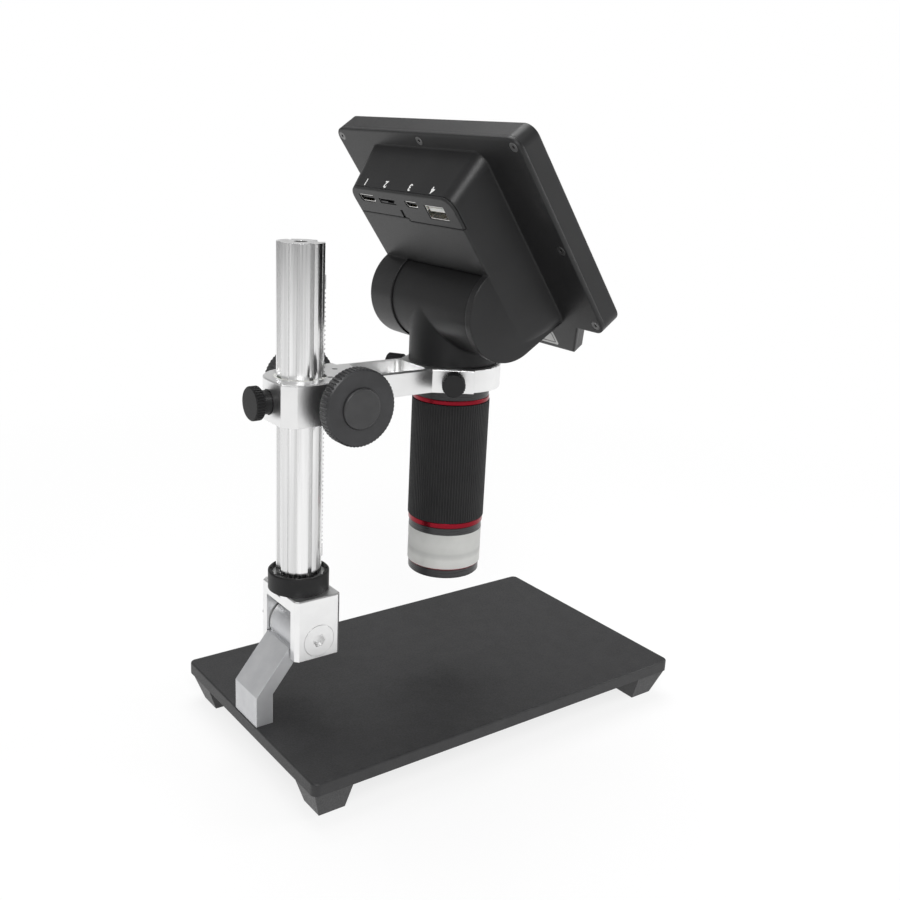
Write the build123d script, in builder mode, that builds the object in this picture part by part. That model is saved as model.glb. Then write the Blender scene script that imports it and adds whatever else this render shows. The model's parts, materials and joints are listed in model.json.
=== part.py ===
"""Digital microscope with a tilting LCD head on a rack-and-pinion stand.

Frame: millimetres, +Z up, origin on the table at the middle of the base.
+X runs from the column towards the user, who reads the screen from +X.
+Y is across the stand.
"""

import os
from math import cos, pi, radians, sin

from build123d import *

os.makedirs("parts", exist_ok=True)

# ------------------------------------------------------------------ fits
RUN_GAP = 0.05        # radial clearance of a turning or sliding fit
SEAT_GAP = 0.1        # clearance round a piece that is held still
MOVE_GAP = 0.35       # clearance between free faces that move past each other
FACE_GAP = 0.05       # end float between faces that turn on each other
THREAD_GAP = 0.05     # radial clearance round a screw in its own hole
THREAD_RUNOUT = 1.0   # hole's depth beyond the screw's end
PRESS_GAP = 0.02      # radial clearance of a pressed ring or bush

# ------------------------------------------------------------------ base
BASE_LENGTH = 200.0
BASE_WIDTH = 120.0
BASE_THICKNESS = 5.6
BASE_CORNER_R = 3.0
BASE_EDGE_R = 0.8
FOOT_HEIGHT = 13.5    # table to the plate's underside
FOOT_TOP_SIZE = 17.9
FOOT_BOTTOM_SIZE = 12.1
FOOT_TOP_INSET = 1.0
FOOT_BOTTOM_INSET = 5.5
PAD_SIZE = 9.0
PAD_PROUD = 0.4
PAD_SUNK = 1.0

# ------------------------------------------------------------------ bracket
BRACKET_WIDTH = 20.0
BRACKET_THICKNESS = 7.7
BRACKET_SETBACK = 0.4     # from the plate's short edge
BRACKET_SEAT_DEPTH = 0.5  # into the plate
BRACKET_LEDGE = 1.3       # behind the knuckle
BRACKET_KNEE_HEIGHT = 13.6
BRACKET_EDGE = 0.5
BRACKET_SCREW_SPACING = 11.0
BRACKET_SCREW_R = 2.0
BRACKET_SCREW_HEAD_R = 3.5
BRACKET_SCREW_LENGTH = 14.0
PIVOT_HEIGHT = 36.1       # above the plate
KNUCKLE_R = 10.0
KNUCKLE_DROP = 3.2        # the bracket's slope ends this far below the knuckle's axis

# ------------------------------------------------------------------ column
COLUMN_X = -74.5
COLUMN_R = 9.6
COLUMN_TOP = 221.0
COLUMN_CORE_R = 2.6
SIDE_SLOT_WIDTH = 1.8
SIDE_SLOT_DEPTH = 2.2
BACK_SLOT_WIDTH = 3.6
BACK_SLOT_DEPTH = 1.0
FLUTE_WIDTH = 0.7
FLUTE_DEPTH = 0.3
FLUTE_SPREAD = 11.0       # half the angle between the two flutes of a pair
PIVOT_OFFSET = 1.5        # pivot's place in front of the column's axis
CLEVIS_LENGTH = 21.6
CLEVIS_OFFSET = 1.2       # its middle, in front of the column's axis
CLEVIS_WIDTH = 31.4
CLEVIS_TOP = 75.0
CLEVIS_DROP = 7.7         # pivot axis to the ears' lower edge
CLEVIS_CORNER = 1.6
CLEVIS_EDGE = 0.5
ROOF_GAP = 4.1            # knuckle to the slot's roof
WASHER_THICKNESS = 0.6
WASHER_R = 8.5
PIVOT_BOLT_R = 4.0
PIVOT_HEAD_R = 7.1
PIVOT_HEAD_DEPTH = 3.2
PIVOT_SOCKET_AF = 5.0
PIVOT_SOCKET_DEPTH = 2.4
PIVOT_NUT_AF = 13.0
PIVOT_NUT_THICKNESS = 6.5
SPIGOT_R = 11.3
SPIGOT_HEIGHT = 6.5
SPIGOT_FLOOR = 2.9        # metal between the slot's roof and the column's foot
SPIGOT_SLIT = 1.2
COLUMN_SCREW_R = 2.5
COLUMN_SCREW_HEAD_R = 4.5
COLUMN_SCREW_HEAD_HEIGHT = 2.6
COLUMN_SCREW_LENGTH = 14.0
COLLAR_R = 13.0
COLLAR_HEIGHT = 8.2
COLLAR_NOTCHES = 12
COLLAR_NOTCH_WIDTH = 1.7
COLLAR_NOTCH_DEPTH = 1.3

# ------------------------------------------------------------------ rack and pinion
MODULE = 0.6
PINION_TEETH = 12
PINION_WIDTH = 5.4
RACK_WIDTH = 6.0
RACK_TIP = 9.8            # tooth tips, from the column's axis
RACK_BACK = 1.9           # metal behind the tooth roots
RACK_BOTTOM = 88.0
RACK_TOP = 208.0
RACK_PLAIN_END = 6.0     # untoothed length at each end
RACK_SCREW_R = 1.0
RACK_SCREW_HEAD_R = 1.9
RACK_SCREW_LENGTH = 5.5
TOOTH_THINNING = 0.16     # backlash, taken from the pinion's teeth
TOOTH_FLANK = 20.0        # pressure angle
SHAFT_R = 2.5
SHAFT_Z = 158.3

# ------------------------------------------------------------------ carriage
ARM_TOP = 167.3
ARM_HEIGHT = 10.3
ARM_WIDTH = 25.0
BLOCK_HEIGHT = 17.3
BLOCK_WIDTH = 32.0
BLOCK_BACK = 14.6         # behind the column's axis
BLOCK_FRONT = 24.5        # in front of the column's axis
BLOCK_CORNER = 4.8        # chamfer of the near rear corner
BLOCK_FAR_R = 15.5        # round of the far rear corner
ARM_EDGE = 0.5
SLEEVE_WALL = 1.1
SLEEVE_SLOT = 13.2
BUSH_R = 3.5
PINION_POCKET_GAP = 0.5
POCKET_START = 28.5       # in front of the column's axis
POCKET_WALL = 1.6
POCKET_END_WALL = 1.7     # between the arm's pocket and the neck's seat
POCKET_DEPTH = 5.5
POCKET_CORNER_R = 3.0
SET_SCREW_R = 1.3
SET_SCREW_DEPTH = 5.0
SET_SCREW_LENGTH = 4.0
SET_SCREWS_AT = ((-55.2, 5.2), (-64.6, -7.4))
RING_X = 2.4
RING_R = 21.5
RING_PAD_DISTANCE = 21.6
RING_PAD_WIDTH = 18.0
RING_PAD_ANGLE = 55.0     # from the arm's direction

KNOB_R = 16.0
KNOB_THICKNESS = 6.3
KNOB_FACE = 27.0          # outer face, from the stand's middle plane
KNOB_GROOVES = 60
KNOB_GROOVE_R = 0.45
KNOB_EDGE = 0.8
HUB_R = 6.0
KNOB_CAP_R = 8.5
KNOB_CAP_THICKNESS = 2.4
KNOB_CAP_PROUD = 1.2
KNOB_CAP_EDGE = 0.9
KNOB_SCREW_R = 1.5
KNOB_SCREW_HEAD_R = 2.8
KNOB_SCREW_HEAD_HEIGHT = 1.6
KNOB_SCREW_LENGTH = 9.0
KNOB_WEB = 1.0            # metal between the shaft's end and the screw's head

THUMB_EDGE = 0.5
LOCK_HEAD_R = 7.0
LOCK_HEAD_THICKNESS = 4.0
LOCK_GROOVES = 36
LOCK_GROOVE_R = 0.35
LOCK_STEM_R = 4.9
LOCK_STEM_LENGTH = 5.8
LOCK_THREAD_R = 2.5
LOCK_THREAD_LENGTH = 1.4
LOCK_SEAT_DEPTH = 2.0     # stem's seat below the block's face
LOCK_PAD_LENGTH = 0.8
LOCK_Z = 158.0

CLAMP_HEAD_R = 5.0
CLAMP_HEAD_THICKNESS = 7.6
CLAMP_GROOVES = 28
CLAMP_GROOVE_R = 0.3
CLAMP_STEM_R = 3.0
CLAMP_STEM_LENGTH = 1.6
CLAMP_THREAD_R = 2.0
CLAMP_TIP_GAP = 0.15
BUSH_START = 4.3

# ------------------------------------------------------------------ microscope barrel
TUBE_R = 17.0             # where the ring holds it
TUBE_LOWER_R = 15.0       # under the focus sleeve
TUBE_END_R = 14.5         # inside the light hood
TUBE_BORE_R = 13.1
TUBE_TOP = 178.0
TUBE_BOTTOM = 80.0
SHOULDER_Z = 152.4        # lower end of the full-size tube
COLLAR_BAND_R = 16.8
BAND_TOP = 92.7
HOOD_TOP = 89.5
HOOD_BOTTOM = 73.1
HOOD_R = 16.9
HOOD_WALL = 2.2
SEAL_THICKNESS = 0.5
SEAL_R = 16.6
CAP_BOTTOM = 68.4
CAP_R = 16.4
CAP_WINDOW_R = 11.0
CAP_SPIGOT_HEIGHT = 3.4
FILTER_R = 13.0
FILTER_THICKNESS = 1.2
FILTER_SEAT = 2.2         # cap's floor under the filter glass
FOCUS_RING_R = 17.2
FOCUS_RING_EDGE = 0.35
LOWER_RING_HEIGHT = 2.8
UPPER_RING_HEIGHT = 2.2
GRIP_R = 17.5
GRIP_RIBS = 90
GRIP_RIB_R = 0.3
FOCUS_SLEEVE_R = 16.2
LED_BOARD_THICKNESS = 1.6
LED_BOARD_HOLE_R = 7.0
LED_COUNT = 8
LED_PITCH_R = 10.6
LED_R = 1.5
LED_LENGTH = 3.0
LENS_CELL_BOTTOM = 106.0
LENS_CELL_LENGTH = 30.0
LENS_CELL_BORE_R = 9.4
LENS_R = 10.5
LENS_EDGE = 2.4
LENS_BULGE = 1.3
LENS_POCKET_DEPTH = 5.0
DRIVE_PIN_R = 1.0
DRIVE_PIN_REACH = 15.7
DRIVE_PIN_ANGLE = 155.0
FOCUS_TURN = 150.0        # degrees each way
LENS_TRAVEL = 4.0         # each way
GROOVE_OVERCUT = 0.6      # cutter's reach past the sleeve's bore
IMAGE_BOARD_R = 15.5
IMAGE_BOARD_THICKNESS = 1.6
SENSOR_SIZE = 8.0
SENSOR_THICKNESS = 1.8

# ------------------------------------------------------------------ tilting head
NECK_R = 19.7
NECK_FLOOR = 3.0
SHELL_WALL = 2.0
TILT_Z = 193.4
PIVOT_BARREL_NEAR = -33.7
PIVOT_BARREL_FAR = 20.8
EAR_R = 20.3
NEAR_HUB_R = 7.0
NEAR_HUB_LENGTH = 2.2
SPINDLE_R = 6.0
SPINDLE_BORE_R = 3.5
SPINDLE_FLANGE_R = 9.0
SPINDLE_FLANGE_THICKNESS = 1.5
SPINDLE_END = 1.0         # beyond its nut
HINGE_WASHER_R = 10.5
HINGE_WASHER_THICKNESS = 1.0
HINGE_NUT_AF = 18.0
HINGE_NUT_THICKNESS = 4.0
SCREEN_LEAN = 35.5        # from vertical, at rest

HUMP_REAR = -0.5          # hump's rear face, from the tilt axis
HUMP_HALF_WIDTH = 37.3
HUMP_FLARE = 3.2          # how much wider the hump is where it meets the cover
HUMP_TOP = 57.0
HUMP_TOP_AT_COVER = 64.5
HUMP_BOTTOM = -21.5
HUMP_CORNER_R = 6.0
HUMP_EDGE_R = 1.0
HUMP_WALL = 2.2
DRUM_CAVITY_R = 18.0
CAVITY_OVERLAP = 1.0      # drum's hollow into the hump's hollow
CAVITY_BOTTOM = 22.5
BACK_N = 20.4             # cover's outer face, from the tilt axis
BACK_THICKNESS = 2.0
MODULE_THICKNESS = 10.4
MODULE_HALF_WIDTH = 64.5
MODULE_TOP = 71.5
MODULE_BOTTOM = -22.0
MODULE_CORNER_R = 5.5
MODULE_EDGE = 0.6
TAB_LENGTH = 16.0         # below the screen rectangle
TAB_INSET = 17.0          # its root, from the module's side
TAB_TAPER = 10.8
TAB_THICKNESS = 5.6
TAB_FRONT = 1.2

PANEL_BOTTOM = 44.4
PANEL_THICKNESS = 1.2
PANEL_LEDGE = 1.2
PANEL_SEAM = 0.4          # open joint along the panel's lower edge
PANEL_STEP = 1.5          # how much lower that edge is on the near side
PANEL_STEP_AT = 0.0
PANEL_GROOVE_WIDTH = 0.3  # shadow groove behind the panel's rim
PANEL_GROOVE_DEPTH = 0.5
PRY_SLOT_AT = (2.6, 46.4)
PRY_SLOT_SIZE = (1.8, 4.0)
PRY_SLOT_DEPTH = 0.6
BOARD_N = 10.0
BOARD_THICKNESS = 1.6
BOARD_HALF_WIDTH = 33.5
BOARD_BOTTOM = 24.5
BOARD_TOP = 55.0
BOARD_POST_R = 2.4
BOARD_POST_X = 30.0
BOARD_POST_UPS = (27.5, 41.0)
SOCKET_SUNK = 0.3
SOCKET_WALL = 0.4
TONGUE_LENGTH = 6.5
TONGUE_SETBACK = 0.8      # behind the socket's mouth
TONGUE_SIDE_GAP = 0.8     # to the shell's side walls
PLUG_SOCKETS = (          # across, up, width, height, corner cut, tongue thickness, tongue lift
    (25.5, 52.2, 11.2, 3.5, 1.0, 0.8, 0.0),
    (-7.7, 52.0, 8.0, 3.0, 0.9, 0.7, 0.0),
)
USB_SOCKET = (-23.5, 49.5, 13.1, 6.6, 0.3, 1.8, 0.9)
CARD_SOCKET_AT = (10.2, 51.9)
CARD_SOCKET_WIDTH = 11.6
CARD_SOCKET_HEIGHT = 2.4
CARD_SLOT_HEIGHT = 1.0
CARD_NOTCH_X = -2.0       # thumb notch, from the slot's middle
CARD_NOTCH_WIDTH = 4.5
CARD_NOTCH_DEPTH = 1.5

BEZEL_WALL = 2.0
BEZEL_FRONT = 2.2
WINDOW_SIDE_MARGIN = 9.15
WINDOW_LOW_MARGIN = 22.2
WINDOW_MARGIN = 9.0       # bezel's top edge to the window
GLASS_BORDER = 1.4
GLASS_THICKNESS = 1.2
LCD_BORDER = 2.0
LCD_THICKNESS = 2.8
LCD_PAD_SIZE = 6.0
LCD_PAD_INSET = 5.35      # its middle, from the window's side
LCD_PAD_UPS = (6.0, 52.0)
COVER_SCREW_R = 1.1
COVER_SCREW_HEAD_R = 2.0
COVER_SCREW_LENGTH = 7.0
COVER_SCREW_SIDE_INSET = 3.7
COVER_SCREW_LOW_INSET = 4.6
COVER_SCREW_TOP_INSET = 3.8
COVER_SCREW_MID = 20.6
COVER_BOSS_R = 2.6

BUTTON_COUNT = 5
BUTTON_PITCH = 14.0
BUTTON_DROP = 8.0         # below the screen rectangle
BUTTON_R = 3.2
BUTTON_PROUD = 0.9
BUTTON_TRAVEL = 0.7
BUTTON_FLANGE = 0.8
BUTTON_FLANGE_T = 0.5
BUTTON_GAP = 0.3
BUTTON_BOARD_SIZE = (68.0, 9.0)

# ------------------------------------------------------------------ derived places
PLATE_TOP = FOOT_HEIGHT + BASE_THICKNESS
FOOT_TOP_X = BASE_LENGTH / 2 - FOOT_TOP_INSET - FOOT_TOP_SIZE / 2
FOOT_TOP_Y = BASE_WIDTH / 2 - FOOT_TOP_INSET - FOOT_TOP_SIZE / 2
FOOT_LOW_X = BASE_LENGTH / 2 - FOOT_BOTTOM_INSET - FOOT_BOTTOM_SIZE / 2
FOOT_LOW_Y = BASE_WIDTH / 2 - FOOT_BOTTOM_INSET - FOOT_BOTTOM_SIZE / 2

PIVOT_X = COLUMN_X + PIVOT_OFFSET
CLEVIS_X = COLUMN_X + CLEVIS_OFFSET
PIVOT_Z = PLATE_TOP + PIVOT_HEIGHT
BRACKET_X = -BASE_LENGTH / 2 + BRACKET_SETBACK
BRACKET_SEAT_Z = PLATE_TOP - BRACKET_SEAT_DEPTH
KNEE_Z = PLATE_TOP + BRACKET_KNEE_HEIGHT
BRACKET_SCREW_X = BRACKET_X + BRACKET_THICKNESS / 2

SLOT_WIDTH = BRACKET_WIDTH + 2 * WASHER_THICKNESS + 4 * FACE_GAP
ROOF_Z = PIVOT_Z + KNUCKLE_R + ROOF_GAP
COLUMN_FOOT = ROOF_Z + SPIGOT_FLOOR
COLLAR_TOP = CLEVIS_TOP + FACE_GAP + COLLAR_HEIGHT

PITCH = pi * MODULE
PINION_PITCH_R = PINION_TEETH * MODULE / 2
PINION_TIP_R = PINION_PITCH_R + MODULE
PINION_ROOT_R = PINION_PITCH_R - 1.25 * MODULE
RACK_PITCH_LINE = RACK_TIP - MODULE
RACK_ROOT = RACK_PITCH_LINE - 1.25 * MODULE
RACK_SEAT = RACK_ROOT - RACK_BACK
SHAFT_X = COLUMN_X + RACK_PITCH_LINE + PINION_PITCH_R

ARM_BOTTOM = ARM_TOP - ARM_HEIGHT
BLOCK_BOTTOM = ARM_TOP - BLOCK_HEIGHT
SLEEVE_BORE_R = COLUMN_R + RUN_GAP
BLOCK_BORE_R = SLEEVE_BORE_R + SLEEVE_WALL
NECK_BOTTOM = ARM_TOP + FACE_GAP
POCKET_END = RING_X - NECK_R - POCKET_END_WALL
RING_BORE_R = TUBE_R + RUN_GAP
RING_MID_Z = (ARM_TOP + ARM_BOTTOM) / 2
KNOB_BACK = KNOB_FACE - KNOB_THICKNESS

SLEEVE_BOTTOM = BAND_TOP + FACE_GAP
SLEEVE_TOP = SHOULDER_Z - FACE_GAP
GRIP_BOTTOM = SLEEVE_BOTTOM + LOWER_RING_HEIGHT
GRIP_TOP = SLEEVE_TOP - UPPER_RING_HEIGHT
DRIVE_PIN_Z = LENS_CELL_BOTTOM + LENS_CELL_LENGTH / 2
GROOVE_DEPTH = DRIVE_PIN_REACH - TUBE_LOWER_R + SEAT_GAP
GROOVE_PITCH = LENS_TRAVEL * 360 / FOCUS_TURN
LENS_CELL_R = TUBE_BORE_R - RUN_GAP
CAP_TOP = HOOD_BOTTOM - SEAL_THICKNESS
HOOD_BORE_R = HOOD_R - HOOD_WALL

MODULE_FRONT = BACK_N + MODULE_THICKNESS
TAB_FRONT_N = BACK_N + TAB_THICKNESS
COVER_INSIDE = BACK_N + BACK_THICKNESS
MODULE_HEIGHT = MODULE_TOP - MODULE_BOTTOM
MODULE_MIDDLE = (MODULE_TOP + MODULE_BOTTOM) / 2
TAB_TOP_HALF_WIDTH = MODULE_HALF_WIDTH - TAB_INSET
TAB_BOTTOM_HALF_WIDTH = TAB_TOP_HALF_WIDTH - TAB_TAPER
TAB_BOTTOM = MODULE_BOTTOM - TAB_LENGTH
BUTTON_UP = MODULE_BOTTOM - BUTTON_DROP
WINDOW_WIDTH = 2 * (MODULE_HALF_WIDTH - WINDOW_SIDE_MARGIN)
WINDOW_HEIGHT = MODULE_HEIGHT - WINDOW_MARGIN - WINDOW_LOW_MARGIN
LCD_PAD_X = WINDOW_WIDTH / 2 - LCD_PAD_INSET
COVER_SCREW_X = MODULE_HALF_WIDTH - COVER_SCREW_SIDE_INSET
COVER_SCREW_UPS = (MODULE_BOTTOM + COVER_SCREW_LOW_INSET, MODULE_TOP - COVER_SCREW_TOP_INSET)
BEZEL_BACK_FACE = MODULE_FRONT - BEZEL_FRONT
BUTTON_FLANGE_N = TAB_FRONT_N - TAB_FRONT - BUTTON_GAP - BUTTON_FLANGE_T
BUTTON_BOARD_TOP = BUTTON_FLANGE_N - BUTTON_TRAVEL - BUTTON_GAP
LCD_BACK = BEZEL_BACK_FACE - GLASS_THICKNESS - LCD_THICKNESS
WINDOW_MIDDLE = MODULE_TOP - WINDOW_MARGIN - WINDOW_HEIGHT / 2
SLOT_NEAR = PIVOT_BARREL_NEAR - FACE_GAP
SLOT_FAR = PIVOT_BARREL_FAR + FACE_GAP
DRUM_WALL = SLOT_FAR + HUMP_WALL
HUMP_FOOT = MOVE_GAP - EAR_R
SOCKET_MOUTH = HUMP_REAR + SOCKET_SUNK

SCREEN_NORMAL = (cos(radians(SCREEN_LEAN)), 0, sin(radians(SCREEN_LEAN)))
HEAD = Plane(origin=(RING_X, 0, TILT_Z), x_dir=(0, 1, 0), z_dir=SCREEN_NORMAL)
SCREEN_AXIS = Axis((RING_X, 0, TILT_Z), SCREEN_NORMAL)


# ------------------------------------------------------------------ helpers
def along_y(x, y, z):
    """Plane at a point, its normal along +Y."""
    return Plane(origin=(x, y, z), x_dir=(1, 0, 0), z_dir=(0, 1, 0))


def along_x(x, y, z):
    """Plane at a point, its normal along +X; its own axes are Y and Z."""
    return Plane(origin=(x, y, z), x_dir=(0, 1, 0), z_dir=(1, 0, 0))


def head_at(across, up, out):
    """Plane parallel to the screen, placed from the tilt axis."""
    place = HEAD.from_local_coords(Vector(across, up, out))
    return Plane(origin=place, x_dir=HEAD.x_dir, z_dir=HEAD.z_dir)


def head_side(across):
    """Plane across the screen, its axes out and up, its normal along -Y."""
    return Plane(origin=(RING_X, across, TILT_Z), x_dir=SCREEN_NORMAL, z_dir=(0, -1, 0))


def ring_screw_plane(side, distance):
    """Plane facing away from the ring at one of its two clamping pads."""
    heading = radians(180 + side * RING_PAD_ANGLE)
    outward = (cos(heading), sin(heading), 0)
    place = (RING_X + distance * outward[0], distance * outward[1], RING_MID_Z)
    return Plane(origin=place, x_dir=(0, 0, 1), z_dir=outward)


def drive_pin_plane(z, distance=0.0):
    """Plane facing outwards along the focus drive pin; its own Y axis points up."""
    heading = radians(DRIVE_PIN_ANGLE)
    outward = (cos(heading), sin(heading), 0)
    place = (RING_X + distance * outward[0], distance * outward[1], z)
    return Plane(origin=place, x_dir=(-sin(heading), cos(heading), 0), z_dir=outward)


def knurled_disc(plane, radius, thickness, edge, count, groove_r):
    """A disc standing on a plane, its rims chamfered, with straight grooves round it."""
    with BuildPart() as disc:
        with BuildSketch(plane):
            Circle(radius)
        extrude(amount=thickness)
        chamfer(disc.edges().filter_by(GeomType.CIRCLE), edge)
        with BuildSketch(plane):
            with PolarLocations(radius, count):
                Circle(groove_r)
        extrude(amount=thickness, mode=Mode.SUBTRACT)
    return disc.part


def countersunk_screw(head_r, shank_r, length, socket_r):
    """A countersunk screw: flat of the head at the origin, shank along -Z, hex socket."""
    head_depth = head_r - shank_r
    with BuildPart() as screw:
        with BuildSketch(Plane.XZ):
            with BuildLine():
                Polyline(
                    (0, 0),
                    (head_r, 0),
                    (shank_r, -head_depth),
                    (shank_r, -length),
                    (0, -length),
                    close=True,
                )
            make_face()
        revolve(axis=Axis.Z)
        with BuildSketch(Plane.XY):
            RegularPolygon(socket_r, 6)
        extrude(amount=-head_depth, mode=Mode.SUBTRACT)
    return screw.part


def headed_screw(head_r, head_height, shank_r, length, socket_r):
    """A cylinder-head screw: underside of the head at the origin, shank along -Z."""
    with BuildPart() as screw:
        with BuildSketch(Plane.XY):
            Circle(head_r)
        extrude(amount=head_height)
        with BuildSketch(Plane.XY):
            Circle(shank_r)
        extrude(amount=-length)
        with BuildSketch(Plane.XY.offset(head_height)):
            RegularPolygon(socket_r, 6)
        extrude(amount=-head_height / 2, mode=Mode.SUBTRACT)
    return screw.part


def save(builder, name):
    """Label a finished piece and write its STEP file."""
    builder.part.label = name
    export_step(builder.part, f"parts/{name}.step")


# ------------------------------------------------------------------ base
foot_corners = [(sx, sy) for sx in (-1, 1) for sy in (-1, 1)]

with BuildPart() as base_plate:
    with BuildSketch(Plane.XY.offset(FOOT_HEIGHT)):
        RectangleRounded(BASE_LENGTH, BASE_WIDTH, BASE_CORNER_R)
    extrude(amount=BASE_THICKNESS)
    fillet(base_plate.faces().sort_by(Axis.Z)[-1].edges(), BASE_EDGE_R)
    with BuildSketch(Plane.XY.offset(PLATE_TOP)):
        with Locations((-BASE_LENGTH / 2, 0)):
            Rectangle(2 * (BRACKET_SETBACK + BRACKET_THICKNESS + SEAT_GAP),
                      BRACKET_WIDTH + 2 * SEAT_GAP)
    extrude(amount=-BRACKET_SEAT_DEPTH, mode=Mode.SUBTRACT)
    for sx, sy in foot_corners:
        with BuildSketch(Plane.XY.offset(FOOT_HEIGHT)):
            with Locations((sx * FOOT_TOP_X, sy * FOOT_TOP_Y)):
                Rectangle(FOOT_TOP_SIZE, FOOT_TOP_SIZE)
        with BuildSketch(Plane.XY.offset(PAD_PROUD)):
            with Locations((sx * FOOT_LOW_X, sy * FOOT_LOW_Y)):
                Rectangle(FOOT_BOTTOM_SIZE, FOOT_BOTTOM_SIZE)
        loft()
    with BuildSketch(Plane.XY.offset(PAD_PROUD)):
        with GridLocations(2 * FOOT_LOW_X, 2 * FOOT_LOW_Y, 2, 2):
            Rectangle(PAD_SIZE + 2 * SEAT_GAP, PAD_SIZE + 2 * SEAT_GAP)
    extrude(amount=PAD_SUNK, mode=Mode.SUBTRACT)
    under_plate = Plane(origin=(BRACKET_SCREW_X, 0, FOOT_HEIGHT), z_dir=(0, 0, -1))
    with Locations(under_plate):
        with GridLocations(0, BRACKET_SCREW_SPACING, 1, 2):
            CounterSinkHole(BRACKET_SCREW_R + SEAT_GAP, BRACKET_SCREW_HEAD_R + SEAT_GAP,
                            counter_sink_angle=90)

with BuildPart() as foot_pads:
    with BuildSketch():
        with GridLocations(2 * FOOT_LOW_X, 2 * FOOT_LOW_Y, 2, 2):
            RectangleRounded(PAD_SIZE, PAD_SIZE, PAD_SIZE / 6)
    extrude(amount=PAD_PROUD + PAD_SUNK)

# ------------------------------------------------------------------ bracket
knuckle_back = (PIVOT_X - KNUCKLE_R - BRACKET_LEDGE, PIVOT_Z - KNUCKLE_DROP)
knuckle_front = (knuckle_back[0] + BRACKET_THICKNESS, knuckle_back[1])

with BuildPart() as column_bracket:
    with BuildSketch(Plane.XZ):
        with BuildLine():
            Polyline(
                (BRACKET_X, BRACKET_SEAT_Z),
                (BRACKET_X + BRACKET_THICKNESS, BRACKET_SEAT_Z),
                (BRACKET_X + BRACKET_THICKNESS, KNEE_Z),
                knuckle_front,
                knuckle_back,
                (BRACKET_X, KNEE_Z),
                close=True,
            )
        make_face()
        with Locations((PIVOT_X, PIVOT_Z)):
            Circle(KNUCKLE_R)
            Circle(PIVOT_BOLT_R + RUN_GAP, mode=Mode.SUBTRACT)
    extrude(amount=BRACKET_WIDTH / 2, both=True)
    long_edges = column_bracket.edges().filter_by(Axis.Y)
    fillet(long_edges.group_by(Axis.X)[0].sort_by(Axis.Z)[-1:], BRACKET_EDGE)
    screw_hole_depth = BRACKET_SCREW_LENGTH - BASE_THICKNESS + BRACKET_SEAT_DEPTH + THREAD_RUNOUT
    with Locations(Plane(origin=(BRACKET_SCREW_X, 0, BRACKET_SEAT_Z), z_dir=(0, 0, -1))):
        with GridLocations(0, BRACKET_SCREW_SPACING, 1, 2):
            Hole(BRACKET_SCREW_R + THREAD_GAP, depth=screw_hole_depth)

bracket_screw = countersunk_screw(
    BRACKET_SCREW_HEAD_R, BRACKET_SCREW_R, BRACKET_SCREW_LENGTH, BRACKET_SCREW_R * 0.75)
with BuildPart() as bracket_screws:
    with Locations(under_plate):
        with GridLocations(0, BRACKET_SCREW_SPACING, 1, 2):
            add(bracket_screw)

# ------------------------------------------------------------------ clevis and its pivot
with BuildPart() as column_clevis:
    clevis_bottom = PIVOT_Z - CLEVIS_DROP
    with BuildSketch(Plane.XY.offset(clevis_bottom)):
        with Locations((CLEVIS_X, 0)):
            Rectangle(CLEVIS_LENGTH, CLEVIS_WIDTH)
    extrude(amount=CLEVIS_TOP - clevis_bottom)
    chamfer(column_clevis.edges().filter_by(Axis.Z), CLEVIS_CORNER)
    chamfer(column_clevis.faces().sort_by(Axis.Z)[-1].edges(), CLEVIS_EDGE)
    with BuildSketch(Plane.XY.offset(CLEVIS_TOP)):
        with Locations((COLUMN_X, 0)):
            Circle(SPIGOT_R)
    extrude(amount=SPIGOT_HEIGHT)
    with BuildSketch(Plane.XY.offset(COLUMN_FOOT)):
        with Locations((COLUMN_X, 0)):
            Circle(COLUMN_R + SEAT_GAP)
    extrude(until=Until.LAST, mode=Mode.SUBTRACT)
    with BuildSketch(Plane.XY.offset(CLEVIS_TOP + SPIGOT_SLIT)):
        with Locations((COLUMN_X, 0)):
            Rectangle(2 * COLLAR_R, SPIGOT_SLIT)
            Rectangle(SPIGOT_SLIT, 2 * COLLAR_R)
    extrude(until=Until.LAST, mode=Mode.SUBTRACT)
    with BuildSketch(Plane.XY.offset(clevis_bottom)):
        with Locations((CLEVIS_X, 0)):
            Rectangle(CLEVIS_LENGTH, SLOT_WIDTH)
    extrude(amount=ROOF_Z - clevis_bottom, mode=Mode.SUBTRACT)
    with BuildSketch(Plane.XY.offset(ROOF_Z)):
        with Locations((COLUMN_X, 0)):
            Circle(COLUMN_SCREW_R + SEAT_GAP)
    extrude(amount=SPIGOT_FLOOR, mode=Mode.SUBTRACT)
    with BuildSketch(along_y(PIVOT_X, -CLEVIS_WIDTH / 2, PIVOT_Z)):
        Circle(PIVOT_BOLT_R + SEAT_GAP)
    extrude(amount=CLEVIS_WIDTH, mode=Mode.SUBTRACT)
    with BuildSketch(along_y(PIVOT_X, -CLEVIS_WIDTH / 2, PIVOT_Z)):
        Circle(PIVOT_HEAD_R + SEAT_GAP)
    with BuildSketch(along_y(PIVOT_X, -CLEVIS_WIDTH / 2 + PIVOT_HEAD_DEPTH, PIVOT_Z)):
        Circle(PIVOT_BOLT_R + SEAT_GAP)
    loft(mode=Mode.SUBTRACT)

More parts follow.
